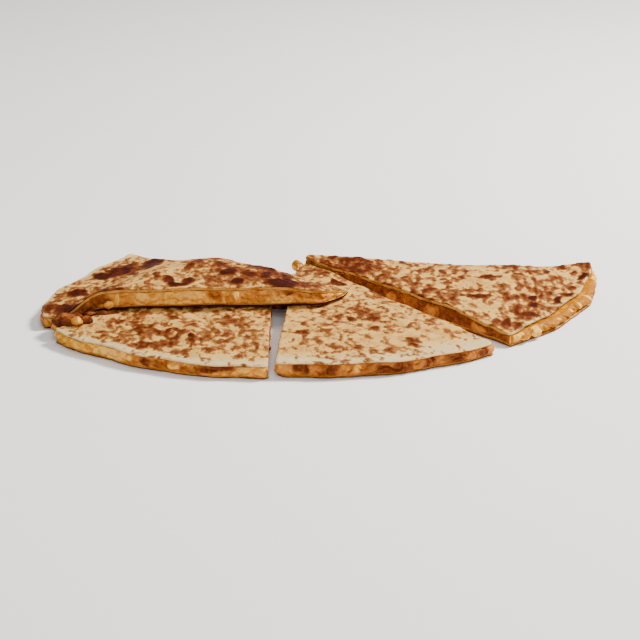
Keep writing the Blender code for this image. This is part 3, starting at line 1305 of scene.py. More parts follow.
@dataclass(frozen=True)
class Patch:
    """One stretch of the filling's wall with a look of its own."""

    side: Side
    at: float  # its middle: tip to rim on a straight side, first to last edge on the rim
    width: float  # in millimetres
    look: Cheese
    height: float = 0.5  # of its middle, as a share of the wall's height
    tall: float = 1.4  # its own height, as a share of the wall's
    stand: float = 0.0  # how far it stands out, in millimetres

    def cover(self, spot: np.ndarray, side: np.ndarray, along: np.ndarray, share: float) -> np.ndarray:
        """How much of the patch shows at points of the wall.

        Args:
            spot: the points.
            side: the number of each point's side.
            along: its share of the way along that side.
            share: how far down the wall the points are.

        Returns:
            0 outside the patch and 1 well inside.
        """
        aside = (along - self.at) * SIDE_LENGTHS[self.side] / (0.5 * self.width)
        drift = 0.45 * NOISE.at(spot + self.at, 0.0032)
        distance = np.hypot(aside, (1.0 - share - self.height) / (0.5 * self.tall)) + drift
        return smooth((1.3 - distance) / 0.75) * (side == self.side.value)


@dataclass(frozen=True)
class Filling:
    """The melted cheese between a slice's layers, with a lumpy wall at its rim and cuts."""

    part: Slice
    material: bpy.types.Material
    patches: tuple[Patch, ...] = ()
    plain: Cheese = Cheese.ORANGE  # the look away from the patches and on top
    richness: float = 0.0  # added to the look along the rim
    cut_richness: float = 0.0  # and at a cut
    edge_steps: int = 280
    rim_steps: int = 230
    tip_steps: int = 10
    wall_steps: int = 16
    film: float = 0.00005  # between it and a layer
    fold_start: float = 0.0022  # how far behind the front of the fold it starts
    rim_bulge: float = 0.0004  # how far the middle of its wall stands out at the rim
    cut_bulge: float = 0.0003  # and at a cut
    tip_bulge: float = 0.0006
    recess: float = 0.0001  # how far the top and the foot of the wall stay inside the layers
    lump: float = 0.0012  # how far a lump stands out or in
    cut_lump: float = 0.45  # share of that at a cut
    drawn: tuple[float, float, float] = (1.0, 1.0, 0.4)  # the cheese's streaks are this much longer upright
    top_hollow: float = 0.0003  # how deep the hollows on top are near the wall
    # Loops of points on the level surfaces, from their middle to the wall
    level_loops: tuple[float, ...] = (0.02, 0.15, 0.35, 0.55, 0.72, 0.85, 0.93, 0.975, 0.992)
    lump_layers: tuple = ((0.0062, 0.50), (0.0031, 0.40), (0.0017, 0.28), (0.0010, 0.12))
    streak_layers: tuple = ((0.0085, 0.7), (0.0042, 0.6), (0.0020, 0.3))

    @property
    def name(self) -> str:
        """The name of the CAD node that it stands for."""
        return f"{self.part.name}_filling"

    def outline(self) -> tuple[np.ndarray, np.ndarray, np.ndarray, np.ndarray]:
        """The border of the filling, once round.

        Returns:
            How far out and across each point lies, its side's number, and its share of the way along it.
        """
        steps = (self.edge_steps, self.rim_steps, self.edge_steps, self.tip_steps)
        shares = [np.linspace(0.0, 1.0, n, endpoint=False) for n in steps]
        ones = [np.ones(n) for n in steps]
        out = np.concatenate([shares[0], ones[1], 1.0 - shares[2], 0.0 * ones[3]])
        across = np.concatenate([0.0 * ones[0], shares[1], ones[2], 1.0 - shares[3]])
        side = np.repeat(np.arange(4), steps)
        along = np.concatenate([shares[0], shares[1], 1.0 - shares[2], 1.0 - shares[3]])
        return out, across, side, along

    def level(self, out: np.ndarray, across: np.ndarray, upper: bool) -> np.ndarray:
        """Points of the filling's upper or lower surface.

        Args:
            out: from the tip to the rim.
            across: from the first edge to the last, of the filling.
            upper: which of the two surfaces.

        Returns:
            The points.
        """
        part = self.part
        if part.fold_heights:
            start = np.minimum(self.fold_start / part.edge_width(out), 0.45)
            across = start + (1.0 - start) * across
        x, y = part.place(out, across)
        inset = Tortilla(part, Layer.UPPER, self.material).thickness(out) + self.film
        low, high = part.underside(x, y), part.upper_height(out, across, x, y)
        middle, half = 0.5 * (low + high), 0.5 * (high - low)
        bend = part.fold_bend(out, across, inset)
        x, y = part.rounded(x, y, out, across, upper)
        return np.stack([x, y, middle + (1.0 if upper else -1.0) * bend * (half - inset)], axis=-1)

    def stand_out(self, side: np.ndarray, along: np.ndarray) -> np.ndarray:
        """How far the wall stands out at its middle, round the outline.

        Args:
            side: the number of each point's side.
            along: its share of the way along that side.

        Returns:
            The distance at each point.
        """
        folded = bool(self.part.fold_heights)
        values = np.array([0.0 if folded else self.cut_bulge, self.rim_bulge, self.cut_bulge, self.tip_bulge])
        stand = values[side]
        at_rim = side == Side.RIM.value
        grown = self.part.lower_reach * smooth(4.0 * along) * smooth(4.0 * (1.0 - along)) * 0.9
        stand = stand + np.where(at_rim, grown, 0.0)
        return self.eased(stand)

    @staticmethod
    def eased(values: np.ndarray) -> np.ndarray:
        """Values round the outline, without their jumps at its corners."""
        kernel = np.hanning(9) / np.hanning(9).sum()
        return np.convolve(np.concatenate([values[-4:], values, values[:4]]), kernel, mode="valid")

    def lumps_at(self, spot: np.ndarray) -> np.ndarray:
        """How far the wall stands out or in at points, as a share of a lump, with creases between lumps."""
        crease = smooth(1.0 - np.abs(NOISE.at(spot + 0.4, 0.0050)) / 0.22)
        return NOISE.layered(spot, self.lump_layers) + 0.35 - 1.1 * crease

    @staticmethod
    def drawn_in(out: np.ndarray, across: np.ndarray, share: float) -> tuple[np.ndarray, np.ndarray]:
        """The outline, drawn in to a share of its size."""
        return 0.55 + (out - 0.55) * share, 0.5 + (across - 0.5) * share

    def walls(self, out: np.ndarray, across: np.ndarray, side: np.ndarray, along: np.ndarray) -> tuple:
        """The loops of points down the wall, and the look of the cheese at each.

        Args:
            out: from the tip to the rim, round the outline.
            across: from the first edge to the last.
            side: the number of each point's side.
            along: its share of the way along that side.

        Returns:
            The loops of points and the loops of tint values.
        """
        over, under = self.level(out, across, True), self.level(out, across, False)
        away = outward(over)
        stand = self.stand_out(side, along)
        hidden = (side == Side.FIRST.value) & bool(self.part.fold_heights)
        lump = self.lump * self.eased(np.where(side == Side.RIM.value, 1.0, self.cut_lump))
        richness = self.eased(np.where(side == Side.RIM.value, self.richness, self.cut_richness))
        loops, tints = [], []
        for step in range(1, self.wall_steps):
            share = step / self.wall_steps
            round_off = math.sin(math.pi * share) ** 0.6
            spot = between((over, under), share)
            lumps = self.lumps_at(spot)
            streaks = NOISE.layered(spot * self.drawn, self.streak_layers)
            # Painted light: the wall is paler where its lumps stand out and darker in the hollows and creases
            # between them.
            tint = self.plain.value + 0.24 * streaks - 0.08 * lumps
            extra = np.zeros(len(out))
            for patch in self.patches:
                weight = patch.cover(spot, side, along, share)
                tint = tint + weight * (patch.look.value - tint)
                extra = extra + weight * patch.stand * MM
            amount = (stand + extra + lump * lumps) * round_off - self.recess * (1.0 - round_off)
            amount = np.where(hidden, 0.0, amount)
            loops.append(spot + away * amount[:, None])
            tints.append(tint + richness)
        return loops, tints

    def build(self) -> bpy.types.Object:
        """Makes the piece.

        Returns:
            The piece's object.
        """
        out, across, side, along = self.outline()
        loops, tints = [], []
        shrink = 1.0 - 0.0004 / 0.06
        for share in self.level_loops:
            loop = self.level(*self.drawn_in(out, across, share), True)
            hollow = NOISE.layered(loop, ((0.0050, 0.5), (0.0022, 0.35)))
            loop[:, 2] -= self.top_hollow * smooth((share - 0.85) / 0.1) * (0.5 + hollow)
            loops.append(loop)
            # Painted shade: the top is darker where its hollows are deeper.
            tints.append(self.plain.value + 0.25 * hollow)
        edge = (0.5 + (out - 0.5) * shrink, 0.5 + (across - 0.5) * shrink)
        walls, wall_tints = self.walls(*edge, side, along)
        loops += walls
        tints += wall_tints
        for share in self.level_loops[::-1]:
            loops.append(self.level(*self.drawn_in(out, across, share), False))
            tints.append(np.full(len(out), self.plain.value))
        count = len(out)
        index = np.arange(count * len(loops)).reshape(len(loops), count)
        points = np.concatenate([*loops, [loops[0].mean(axis=0), loops[-1].mean(axis=0)]])
        faces = tube_faces(index)
        faces += fan_faces(len(points) - 2, index[0]) + fan_faces(len(points) - 1, index[-1])
        tint = np.concatenate([*tints, [self.plain.value] * 2])
        shows = (side != Side.FIRST.value) | (not self.part.fold_heights)
        start = len(self.level_loops) * count
        wall = np.zeros(len(points))
        wall[start : start + len(walls) * count] = np.tile(shows, len(walls))
        return Form(points, faces, {"tint": tint, "wall": wall}).make(f"{self.name}_melted", self.material)


@dataclass(frozen=True)
class Lump:
    """One rounded lump of filling. Its place and size are in millimetres."""

    middle: tuple[float, float, float]
    half: tuple[float, float, float]
    look: Cheese
    turn: float = 0.0  # of its length from +X
    rough: float = 1.0  # how uneven it is


@dataclass(frozen=True)
class SqueezedFilling:
    """The filling come out between the layers, as rounded lumps, and one dark lump of painted shade."""

    material: bpy.types.Material
    lumps: tuple[Lump, ...]
    around: int = 56
    down: int = 30
    # Length and height of a lump's unevenness, the height as a share of its least size
    rough_layers: tuple = ((0.0042, 0.22), (0.0019, 0.16), (0.0011, 0.10))

    def ball(self) -> tuple[np.ndarray, list[tuple[int, ...]]]:
        """The points and faces of a ball of radius 1.

        Returns:
            The points, and the point numbers of each face.
        """
        turn = np.linspace(0.0, 2.0 * np.pi, self.around, endpoint=False)
        tilt = np.linspace(0.0, np.pi, self.down + 1)[1:-1, None]
        level = np.sin(tilt)
        ways = np.stack([level * np.cos(turn), level * np.sin(turn), np.cos(tilt) + 0.0 * turn], -1)
        ways = np.concatenate([[[0.0, 0.0, 1.0]], ways.reshape(-1, 3), [[0.0, 0.0, -1.0]]])
        index = 1 + np.arange(len(ways) - 2).reshape(-1, self.around)
        faces = tube_faces(index) + fan_faces(0, index[0]) + fan_faces(len(ways) - 1, index[-1])
        return ways, faces

    def build(self) -> bpy.types.Object:
        """Makes the piece.

        Returns:
            The piece's object.
        """
        ways, ball_faces = self.ball()
        points, faces, tints = [], [], []
        for number, lump in enumerate(self.lumps):
            turn = math.radians(lump.turn)
            sine, cosine = math.sin(turn), math.cos(turn)
            spin = np.array([[cosine, -sine, 0.0], [sine, cosine, 0.0], [0.0, 0.0, 1.0]])
            spots = ((ways * lump.half) @ spin.T + lump.middle) * MM
            least = min(lump.half) * lump.rough * MM
            layers = tuple((length, weight * least) for length, weight in self.rough_layers)
            rough = NOISE.layered(spots + 0.7 * number, layers)
            points.append(spots + (ways @ spin.T) * rough[:, None])
            faces += [tuple(v + number * len(ways) for v in face) for face in ball_faces]
            clouds = NOISE.layered(spots, ((0.0040, 0.8), (0.0018, 0.5)))
            # Painted light: each lump is paler on top and darker underneath.
            tints.append(lump.look.value + 0.22 * clouds - 0.12 * ways[:, 2])
        values = {"tint": np.concatenate(tints), "wall": np.zeros(len(points) * len(ways))}
        return Form(np.concatenate(points), faces, values).make("squeezed_filling", self.material)


LUMPS = (
    Lump((-104.5, -17.5, 6.0), (7.0, 7.6, 2.5), Cheese.SEARED),
    Lump((-100.1, -24.4, 8.2), (2.3, 2.3, 2.0), Cheese.ORANGE),
    Lump((-102.0, -23.4, 8.5), (1.0, 1.1, 0.9), Cheese.ORANGE),
    Lump((-97.0, -21.0, 7.4), (2.8, 3.4, 1.8), Cheese.SEARED, 60),
    Lump((-95.6, -14.6, 8.2), (2.5, 1.5, 1.0), Cheese.SEARED, 25),
    Lump((-88.4, -9.8, 10.3), (2.3, 1.0, 1.7), Cheese.GOLDEN, 20),
    Lump((-108.4, -19.8, 4.4), (3.2, 2.6, 2.0), Cheese.ORANGE, 30),
    Lump((-91.0, -12.0, 6.7), (8.0, 2.2, 1.5), Cheese.SEARED, 3),
    # Painted shade: a dark seared lump put in the gap under the back left slice's tip, where the gap is in
    # shadow.
    Lump((-17.4, 4.0, 5.9), (4.2, 4.0, 2.6), Cheese.SEARED),
    Lump((-10.4, 60.4, 4.3), (2.5, 2.6, 2.6), Cheese.YOLK, 0, 0.2),
    Lump((-8.2, 58.8, 3.6), (2.4, 2.4, 1.9), Cheese.YOLK, 0, 0.3),
    Lump((84.5, -26.6, 2.6), (3.2, 2.0, 1.7), Cheese.YOLK, 40),
    Lump((89.5, -22.6, 2.9), (3.0, 2.0, 1.8), Cheese.PALE, 45),
)


# ---------------------------------------------------------------------------------------------------
# Bits strewn over a surface
# ---------------------------------------------------------------------------------------------------


@dataclass(frozen=True)
class Strewn:
    """Small bits strewn over a surface by a node tree."""

    name: str
    material: bpy.types.Material
    density: float  # bits on a square metre where the surface's own value is 1
    size: float  # of one bit
    spread: float  # share by which sizes differ
    flat: float  # height of a bit as a share of its width
    seed: int
    where: str  # the name of the surface's value that says how many bits it takes
    rough: float  # how far its points stray, as a share of its size
    rounds: int = 2  # how finely one bit is divided

    def tree(self) -> bpy.types.GeometryNodeTree:
        """Builds the node tree.

        Returns:
            The tree.
        """
        tree = bpy.data.node_groups.new(f"strew_{self.name}", "GeometryNodeTree")
        face = tree.interface
        face.new_socket("Surface", in_out="INPUT", socket_type="NodeSocketGeometry")
        for label in ("Density", "Size", "Spread", "Flatness", "Roughness"):
            face.new_socket(label, in_out="INPUT", socket_type="NodeSocketFloat")
        face.new_socket("Seed", in_out="INPUT", socket_type="NodeSocketInt")
        face.new_socket("Finish", in_out="INPUT", socket_type="NodeSocketMaterial")
        face.new_socket("Bits", in_out="OUTPUT", socket_type="NodeSocketGeometry")

        def add(kind: str, inputs: dict | None = None, **settings: object) -> bpy.types.Node:
            """Adds a node to the tree."""
            return add_node(tree, kind, inputs, settings)

        given = add("NodeGroupInput").outputs
        stored = add("GeometryNodeInputNamedAttribute", {"Name": self.where}, data_type="FLOAT")
        share = stored.outputs["Attribute"]
        density = add("ShaderNodeMath", {0: share, 1: given["Density"]}, operation="MULTIPLY").outputs[0]
        strewn = add("GeometryNodeDistributePointsOnFaces",
                     {"Mesh": given["Surface"], "Density": density, "Seed": given["Seed"]})
        bit = add("GeometryNodeMeshIcoSphere", {"Radius": 0.5, "Subdivisions": self.rounds}).outputs["Mesh"]
        least = add("ShaderNodeMath", {0: 1.0, 1: given["Spread"]}, operation="SUBTRACT").outputs[0]
        most = add("ShaderNodeMath", {0: 1.0, 1: given["Spread"]}, operation="ADD").outputs[0]
        ends = {2: least, 3: most, "Seed": given["Seed"]}
        wide = add("FunctionNodeRandomValue", ends, data_type="FLOAT")
        size = add("ShaderNodeMath", {0: wide.outputs[1], 1: given["Size"]}, operation="MULTIPLY").outputs[0]
        high = add("ShaderNodeMath", {0: size, 1: given["Flatness"]}, operation="MULTIPLY").outputs[0]
        deep = add("ShaderNodeMath", {0: size, 1: 0.8}, operation="MULTIPLY").outputs[0]
        scale = add("ShaderNodeCombineXYZ", {"X": size, "Y": deep, "Z": high}).outputs[0]
        circle = {3: 2.0 * math.pi, "Seed": given["Seed"]}
        spin = add("FunctionNodeRandomValue", circle, data_type="FLOAT")
        turn = add("ShaderNodeCombineXYZ", {"Z": spin.outputs[1]}).outputs[0]
        both = {"Rotation": strewn.outputs["Rotation"], "Rotate By": turn}
        turned = add("FunctionNodeRotateRotation", both, rotation_space="LOCAL").outputs[0]
        spots = {"Points": strewn.outputs["Points"], "Instance": bit, "Rotation": turned, "Scale": scale}
        placed = add("GeometryNodeInstanceOnPoints", spots)
        real = add("GeometryNodeRealizeInstances", {"Geometry": placed.outputs[0]}).outputs[0]
        grain = add("ShaderNodeTexNoise", {"Scale": 1.4 / self.size, "Detail": 1.0}).outputs["Color"]
        level = add("ShaderNodeVectorMath", {0: grain, 1: (0.5, 0.5, 0.5)}, operation="SUBTRACT").outputs[0]
        stray = {0: given["Size"], 1: given["Roughness"]}
        amount = add("ShaderNodeMath", stray, operation="MULTIPLY").outputs[0]
        shift = add("ShaderNodeVectorMath", {0: level, "Scale": amount}, operation="SCALE").outputs[0]
        moved = add("GeometryNodeSetPosition", {"Geometry": real, "Offset": shift}).outputs[0]
        softened = add("GeometryNodeSetShadeSmooth", {"Geometry": moved}).outputs[0]
        look = {"Geometry": softened, "Material": given["Finish"]}
        dressed = add("GeometryNodeSetMaterial", look).outputs[0]
        add("NodeGroupOutput", {"Bits": dressed})
        return tree

    def build(self, surface: bpy.types.Object) -> bpy.types.Object:
        """Strews the bits.

        Args:
            surface: a mesh that is used up.

        Returns:
            All the bits as one mesh.
        """
        tree = self.tree()
        strew = surface.modifiers.new("strew", "NODES")
        strew.node_group = tree
        values = {"Density": self.density, "Size": self.size, "Spread": self.spread, "Flatness": self.flat,
                  "Roughness": self.rough, "Seed": self.seed, "Finish": self.material}
        for item in tree.interface.items_tree:
            if item.item_type == "SOCKET" and item.name in values:
                strew[item.identifier] = values[item.name]
        graph = bpy.context.evaluated_depsgraph_get()
        mesh = bpy.data.meshes.new_from_object(surface.evaluated_get(graph))
        surface.modifiers.remove(strew)
        bpy.data.objects.remove(surface)
        mesh.name = self.name
        return added(self.name, mesh)


def joined_copy(
    name: str,
    pieces: list[bpy.types.Object],
    value: str,
    keep: Callable[[bpy.types.Object, np.ndarray], np.ndarray],
) -> bpy.types.Object:
    """Copies the chosen faces of several meshes into one.

    Args:
        name: of the new object.
        pieces: the meshes.
        value: the name of the value that the new mesh stores at its points.
        keep: gives that value for a piece, at each of its points.

    Returns:
        The new object, of the faces where the value isn't 0 at every point.
    """
    points, faces, values, count = [], [], [], 0
    for piece in pieces:
        spots = points_of(piece.data)
        share = keep(piece, spots)
        points.append(spots)
        values.append(share)
        corners = [tuple(face.vertices) for face in piece.data.polygons]
        faces += [tuple(v + count for v in face) for face in corners if share[list(face)].max() > 0]
        count += len(spots)
    form = Form(np.concatenate(points), faces, {value: np.concatenate(values)})
    return added(name, form.mesh(name))


def stored_values(piece: bpy.types.Object, name: str) -> np.ndarray:
    """The values that a mesh stores at its points.

    Args:
        piece: the mesh's object.
        name: of the values.

    Returns:
        One value for each point.
    """
    values = np.empty(len(piece.data.vertices), np.float32)
    piece.data.attributes[name].data.foreach_get("value", values)
    return values


# ---------------------------------------------------------------------------------------------------
# The whole quesadilla
# ---------------------------------------------------------------------------------------------------

PATCHES: dict[str, tuple[Patch, ...]] = {
    "back_left": (
        Patch(Side.LAST, 0.03, 14, Cheese.SAUCE, 0.75, 0.9),
        Patch(Side.LAST, 0.12, 11, Cheese.MEAT, 1.0, 0.8),
        Patch(Side.LAST, 0.03, 14, Cheese.GOLDEN, 0.2, 0.7),
        Patch(Side.LAST, 0.14, 11, Cheese.PALE, 0.3, 0.8),
        Patch(Side.LAST, 0.22, 10, Cheese.ORANGE, 0.6, 1.0),
        Patch(Side.LAST, 0.28, 4, Cheese.ORANGE, 0.5, 1.2, 0.5),
        # Painted highlight: a small pale spot on the orange lumps.
        Patch(Side.LAST, 0.305, 2.5, Cheese.PALE, 0.65, 0.6, 0.6),
        Patch(Side.LAST, 0.33, 5, Cheese.ORANGE, 0.5, 1.2, 0.5),
        Patch(Side.LAST, 0.383, 6, Cheese.SAUCE, 0.6, 0.9),
        Patch(Side.LAST, 0.457, 10, Cheese.GOLDEN, 0.75, 0.8),
        Patch(Side.LAST, 0.457, 10, Cheese.PALE, 0.25, 0.7),
        Patch(Side.LAST, 0.536, 8, Cheese.PALE, 0.5, 1.0),
        Patch(Side.LAST, 0.593, 5, Cheese.GOLDEN, 0.5, 1.2),
        Patch(Side.LAST, 0.644, 6, Cheese.PALE, 0.5, 1.1),
        Patch(Side.LAST, 0.704, 8, Cheese.ORANGE, 0.5, 1.4, 0.4),
        # Painted highlight: a thin pale stripe beside the bright orange lump.
        Patch(Side.LAST, 0.735, 1.6, Cheese.PALE, 0.6, 0.9, 0.5),
        Patch(Side.LAST, 0.80, 11, Cheese.MEAT, 0.75, 1.2),
        Patch(Side.LAST, 0.88, 20, Cheese.MEAT, 0.5, 2.4),
        Patch(Side.LAST, 0.99, 5, Cheese.ORANGE, 0.4, 0.9, 0.4),
    ),
    "front_left": (
        Patch(Side.RIM, 0.07, 14, Cheese.YOLK, 0.5, 1.6, 0.3),
        Patch(Side.RIM, 0.18, 12, Cheese.YOLK, 0.5, 1.6, 0.4),
        Patch(Side.RIM, 0.335, 13, Cheese.PALE, 0.5, 1.6),
        Patch(Side.RIM, 0.47, 10, Cheese.ORANGE, 0.5, 1.2),
        # Painted highlight: a small pale spot on a lump of the rim.
        Patch(Side.RIM, 0.425, 2.5, Cheese.PALE, 0.6, 0.6, 0.5),
        Patch(Side.RIM, 0.50, 5, Cheese.MEAT, 0.5, 0.7, 0.3),
        Patch(Side.RIM, 0.56, 8, Cheese.SAUCE, 0.6, 0.9),
        # Painted highlights: two small pale spots on lumps of the rim.
        Patch(Side.RIM, 0.61, 2.5, Cheese.PALE, 0.5, 0.6, 0.5),
        Patch(Side.RIM, 0.64, 3, Cheese.PALE, 0.5, 0.5, 0.4),
        Patch(Side.RIM, 0.70, 8, Cheese.SAUCE, 0.5, 0.9),
        Patch(Side.RIM, 0.80, 12, Cheese.MEAT, 0.75, 0.9),
        Patch(Side.RIM, 0.93, 10, Cheese.GOLDEN),
        # Painted shade: the cut side facing the gap beside the middle slice is given the dark sauce colour.
        Patch(Side.LAST, 0.50, 130, Cheese.SAUCE, 0.4, 1.6),
    ),
    "front_middle": (
        Patch(Side.RIM, 0.04, 10, Cheese.GOLDEN, 0.4, 1.4, 0.3),
        Patch(Side.RIM, 0.11, 9, Cheese.SAUCE, 0.8, 1.1),
        Patch(Side.RIM, 0.17, 5, Cheese.AMBER),
        Patch(Side.RIM, 0.23, 9, Cheese.SAUCE, 0.5, 1.1),
        Patch(Side.RIM, 0.28, 4, Cheese.AMBER),
        # Painted highlight: a small pale spot on a lump of the rim.
        Patch(Side.RIM, 0.345, 3, Cheese.PALE, 0.6, 0.6, 0.4),
        Patch(Side.RIM, 0.40, 8, Cheese.ORANGE, 0.5, 1.2),
        Patch(Side.RIM, 0.48, 12, Cheese.SAUCE, 0.25, 1.0),
        Patch(Side.RIM, 0.55, 9, Cheese.SAUCE, 0.6, 1.3),
        Patch(Side.RIM, 0.61, 6, Cheese.AMBER),
        Patch(Side.RIM, 0.67, 8, Cheese.SAUCE, 0.7, 1.0),
        Patch(Side.RIM, 0.73, 6, Cheese.AMBER, 0.4, 0.9),
        Patch(Side.RIM, 0.80, 9, Cheese.SAUCE, 0.6, 1.1),
        Patch(Side.RIM, 0.87, 6, Cheese.AMBER, 0.4, 0.9),
        Patch(Side.RIM, 0.93, 6, Cheese.SAUCE, 0.5, 0.8),
        # Painted shade: the cut side facing the gap beside the left slice is given the dark sauce colour.
        Patch(Side.FIRST, 0.50, 130, Cheese.SAUCE, 0.4, 1.6),
        Patch(Side.TIP, 0.5, 14, Cheese.YOLK, 0.5, 3.0),
    ),
    "right": (
        Patch(Side.RIM, 0.12, 10, Cheese.AMBER, 0.5, 1.2, 0.4),
        # Painted highlights: four small paler spots in the upper part of the rim's wall, on lumps that stand
        # out.
        Patch(Side.RIM, 0.37, 2.5, Cheese.AMBER, 0.75, 0.5, 0.4),
        Patch(Side.RIM, 0.47, 3, Cheese.GOLDEN, 0.6, 0.8, 0.4),
        Patch(Side.RIM, 0.56, 2.2, Cheese.AMBER, 0.75, 0.4, 0.4),
        Patch(Side.RIM, 0.68, 2.2, Cheese.AMBER, 0.75, 0.4, 0.4),
        Patch(Side.RIM, 0.85, 6, Cheese.AMBER, 0.6, 1.2, 0.5),
        Patch(Side.RIM, 0.91, 4, Cheese.SAUCE, 0.3, 0.8),
        Patch(Side.RIM, 0.96, 6, Cheese.AMBER, 0.6, 1.2, 0.4),
        # Painted shade: the whole cut face, which lies in shade beside the middle slice, is given the dark
        # meat colour. The patches after it lay orange and darker spots over it.
        Patch(Side.LAST, 0.50, 260, Cheese.MEAT, 0.5, 3.0),
        Patch(Side.LAST, 0.44, 6, Cheese.ORANGE, 0.35, 0.8),
        Patch(Side.LAST, 0.53, 9, Cheese.SAUCE, 0.6, 1.0),
        Patch(Side.LAST, 0.64, 7, Cheese.ORANGE, 0.4, 0.9),
        Patch(Side.LAST, 0.75, 9, Cheese.MEAT, 0.5, 1.0),
        Patch(Side.LAST, 0.86, 8, Cheese.ORANGE, 0.4, 0.8),
    ),
}


@dataclass
class Quesadilla:
    """The four slices and what has come off them."""

    tortilla: bpy.types.Material
    cheese: bpy.types.Material
    meat: bpy.types.Material
    crumb: bpy.types.Material

    def shift(self) -> np.ndarray:
        """From the slices' own places to those of the CAD model, whose middle lies over the origin.

        Returns:
            The way along X, Y and Z.
        """
        part = FRONT_MIDDLE
        out = np.broadcast_to(np.linspace(0.0, 1.0, BASE_RINGS + 1)[:, None], (BASE_RINGS + 1, BASE_ROWS + 1))
        across = np.broadcast_to(np.linspace(0.0, 1.0, BASE_ROWS + 1), out.shape)
        x, y = part.place(out, across)
        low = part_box(f"{part.name}_bottom_tortilla")[0]
        return np.array([low.x - x.min(), low.y - y.min(), 0.0])

    def finish(self, piece: bpy.types.Object, slot: str, *nodes: str) -> None:
        """Settles a piece in the frame.

        Args:
            piece: the mesh, in the slices' own places.
            slot: the record's material slot, which is named in the log line.
            nodes: the CAD nodes that it stands for.
        """
        mesh = piece.data
        mesh.vertices.foreach_set("co", (points_of(mesh) + self.shift()).ravel())
        mesh.update()
        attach(piece, BODY)
        if nodes:
            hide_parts(*nodes)
        LOG.info("%s: %d faces, slot %s", piece.name, len(mesh.polygons), slot)

    def build(self) -> None:
        """Makes every piece."""
        tortillas, fillings = [], []
        for part in SLICES:
            layers = (Layer.FOLDED,) if part.fold_heights else (Layer.LOWER, Layer.UPPER)
            for layer in layers:
                tortilla = Tortilla(part, layer, self.tortilla)
                tortillas.append((tortilla.build(), tortilla.name))
            filling = Filling(part, self.cheese, PATCHES[part.name], **self.filling_sizes(part))
            fillings.append((filling.build(), filling.name))
        squeezed = SqueezedFilling(self.cheese, LUMPS).build()
        walls = [piece for piece, _ in fillings]
        meat = Strewn("meat_bits", self.meat, 9000.0, 0.0022, 0.4, 0.6, 4, "meaty", 0.5)
        meaty = joined_copy("meat_ground", walls, "meaty", self.meaty)
        crumbs = Strewn("toast_crumbs", self.crumb, 2600.0, 0.00055, 0.5, 0.6, 9, "crumbly", 0.5, 1)
        crumbly = joined_copy("crumb_ground", [piece for piece, _ in tortillas], "crumbly", self.crumbly)
        strewn = [(meat.build(meaty), "meat_bits"), (crumbs.build(crumbly), "toast_crumbs")]
        for piece, node in tortillas:
            self.finish(piece, "toasted_tortilla", node)
        for piece, node in fillings:
            self.finish(piece, "cheese_filling", node)
        self.finish(squeezed, "cheese_filling")
        for piece, slot in strewn:
            self.finish(piece, slot)

    @staticmethod
    def filling_sizes(part: Slice) -> dict[str, float | Cheese]:
        """The sizes in which one slice's filling differs from the others.

        Args:
            part: the slice.

        Returns:
            The filling's own values, by the names of its fields.
        """
        own = {
            "back_left": {"plain": Cheese.AMBER, "cut_bulge": 0.0006, "cut_lump": 1.0, "cut_richness": -0.08},
            "front_left": {"plain": Cheese.AMBER},
            "front_middle": {"tip_bulge": 0.0020, "richness": 0.13},
            "right": {
                "plain": Cheese.DEEP_YOLK,
                "richness": -0.22,
                "cut_richness": -0.08,
                "rim_bulge": 0.0008,
                "top_hollow": 0.0009,
            },
        }
        return own.get(part.name, {})

    @staticmethod
    def meaty(piece: bpy.types.Object, spots: np.ndarray) -> np.ndarray:
        """How many meat bits the wall of a filling takes at each of its points."""
        return stored_values(piece, "wall") * smooth((stored_values(piece, "tint") - 0.70) / 0.3)

    @staticmethod
    def crumbly(piece: bpy.types.Object, spots: np.ndarray) -> np.ndarray:
        """How many crumbs the upper side of a tortilla takes at each of its points.

        Args:
            piece: the tortilla.
            spots: its points.

        Returns:
            A share of the full density for each point.
        """
        heat = stored_values(piece, "toasting")
        patches = NOISE.at(spots, 0.018)
        share = smooth((heat - 0.40) / 0.3) * smooth(0.5 + patches) * (spots[:, 2] > 0.0045)
        return np.where(stored_values(piece, "crumb") > 0.5, 0.0, share)


# ---------------------------------------------------------------------------------------------------
# Table, light and camera
# ---------------------------------------------------------------------------------------------------


@dataclass(frozen=True)
class Lamp:
    """One soft panel of light."""

    name: str
    azimuth: float  # from the front (0), anticlockwise seen from above
    elevation: float
    distance: float
    size: float
    power: float
    colour: tuple[float, float, float] = (1.0, 1.0, 1.0)

    def make(self) -> None:
        """Adds the lamp, facing the middle of the table."""
        light = bpy.data.lights.new(self.name, "AREA")
        light.shape, light.size = "DISK", self.size
        light.energy, light.color = self.power, self.colour
        a, e = math.radians(self.azimuth), math.radians(self.elevation)
        way = (math.sin(a) * math.cos(e), -math.cos(a) * math.cos(e), math.sin(e))
        lamp = added(self.name, light)
        lamp.location = [self.distance * v for v in way]
        lamp.rotation_euler = (math.pi / 2.0 - e, 0.0, a)


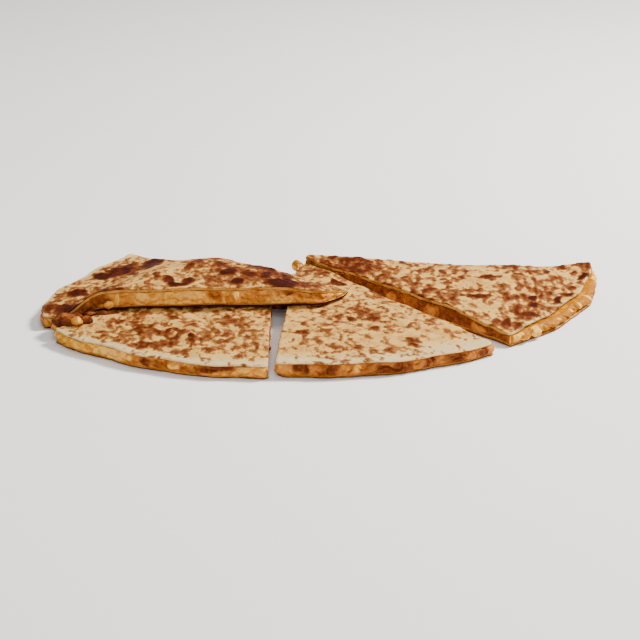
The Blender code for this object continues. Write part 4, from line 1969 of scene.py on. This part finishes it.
@dataclass(frozen=True)
class Studio:
    """The table, the lamps and the camera."""

    target: tuple[float, float, float]  # what the camera looks at
    elevation: float = 20.0
    distance: float = 0.85
    lens: float = 112.36  # in millimetres
    sensor: float = 36.0  # its width in millimetres
    room_light: float = 0.34
    lamps: tuple[Lamp, ...] = (
        Lamp("key", 115.0, 46.0, 1.1, 0.30, 29.0, (1.0, 0.97, 0.92)),
        Lamp("front", 5.0, 32.0, 1.3, 0.8, 9.5, (1.0, 0.98, 0.95)),
        Lamp("overhead", 180.0, 75.0, 1.2, 0.7, 3.0),
    )

    def add_table(self) -> None:
        """Makes the pale table."""
        bpy.ops.mesh.primitive_plane_add(size=6.0, location=(0.0, 0.0, -0.0002))
        table = bpy.context.object
        table.name = "table"
        sheet = NodeSheet("pale_table")
        tone = sheet.noise(0.35, 1.0)
        colour = sheet.ramp(tone, ((0.3, linear(244, 243, 241)), (0.7, linear(248, 247, 246))))
        table.data.materials.append(sheet.finish(colour, 0.8))

    def add_room(self) -> None:
        """Makes the even light of the room."""
        world = bpy.data.worlds.new("soft_room")
        world.use_nodes = True
        background = world.node_tree.nodes["Background"]
        background.inputs["Color"].default_value = (1.0, 1.0, 1.0, 1.0)
        background.inputs["Strength"].default_value = self.room_light
        bpy.context.scene.world = world

    def add_camera(self) -> None:
        """Makes the camera, in front of the table and above it."""
        camera = bpy.data.cameras.new("camera")
        camera.lens, camera.sensor_width, camera.clip_start = self.lens, self.sensor, 0.01
        e = math.radians(self.elevation)
        way = (0.0, -math.cos(e), math.sin(e))
        holder = added("camera", camera)
        holder.location = [t + self.distance * w for t, w in zip(self.target, way)]
        holder.rotation_euler = (math.pi / 2.0 - e, 0.0, 0.0)
        bpy.context.scene.camera = holder

    def build(self) -> None:
        """Makes the studio."""
        self.add_table()
        for lamp in self.lamps:
            lamp.make()
        self.add_room()
        self.add_camera()


def main() -> None:
    """Loads the frame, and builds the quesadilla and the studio."""
    logging.basicConfig(level=logging.INFO, format="%(name)s: %(message)s", stream=sys.stdout)
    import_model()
    finishes = [kind().make() for kind in (ToastedTortilla, MeltedCheese, SearedMeat, ToastCrumb)]
    quesadilla = Quesadilla(*finishes)
    quesadilla.build()
    Studio(tuple(quesadilla.shift())).build()


if __name__ == "__main__":
    main()
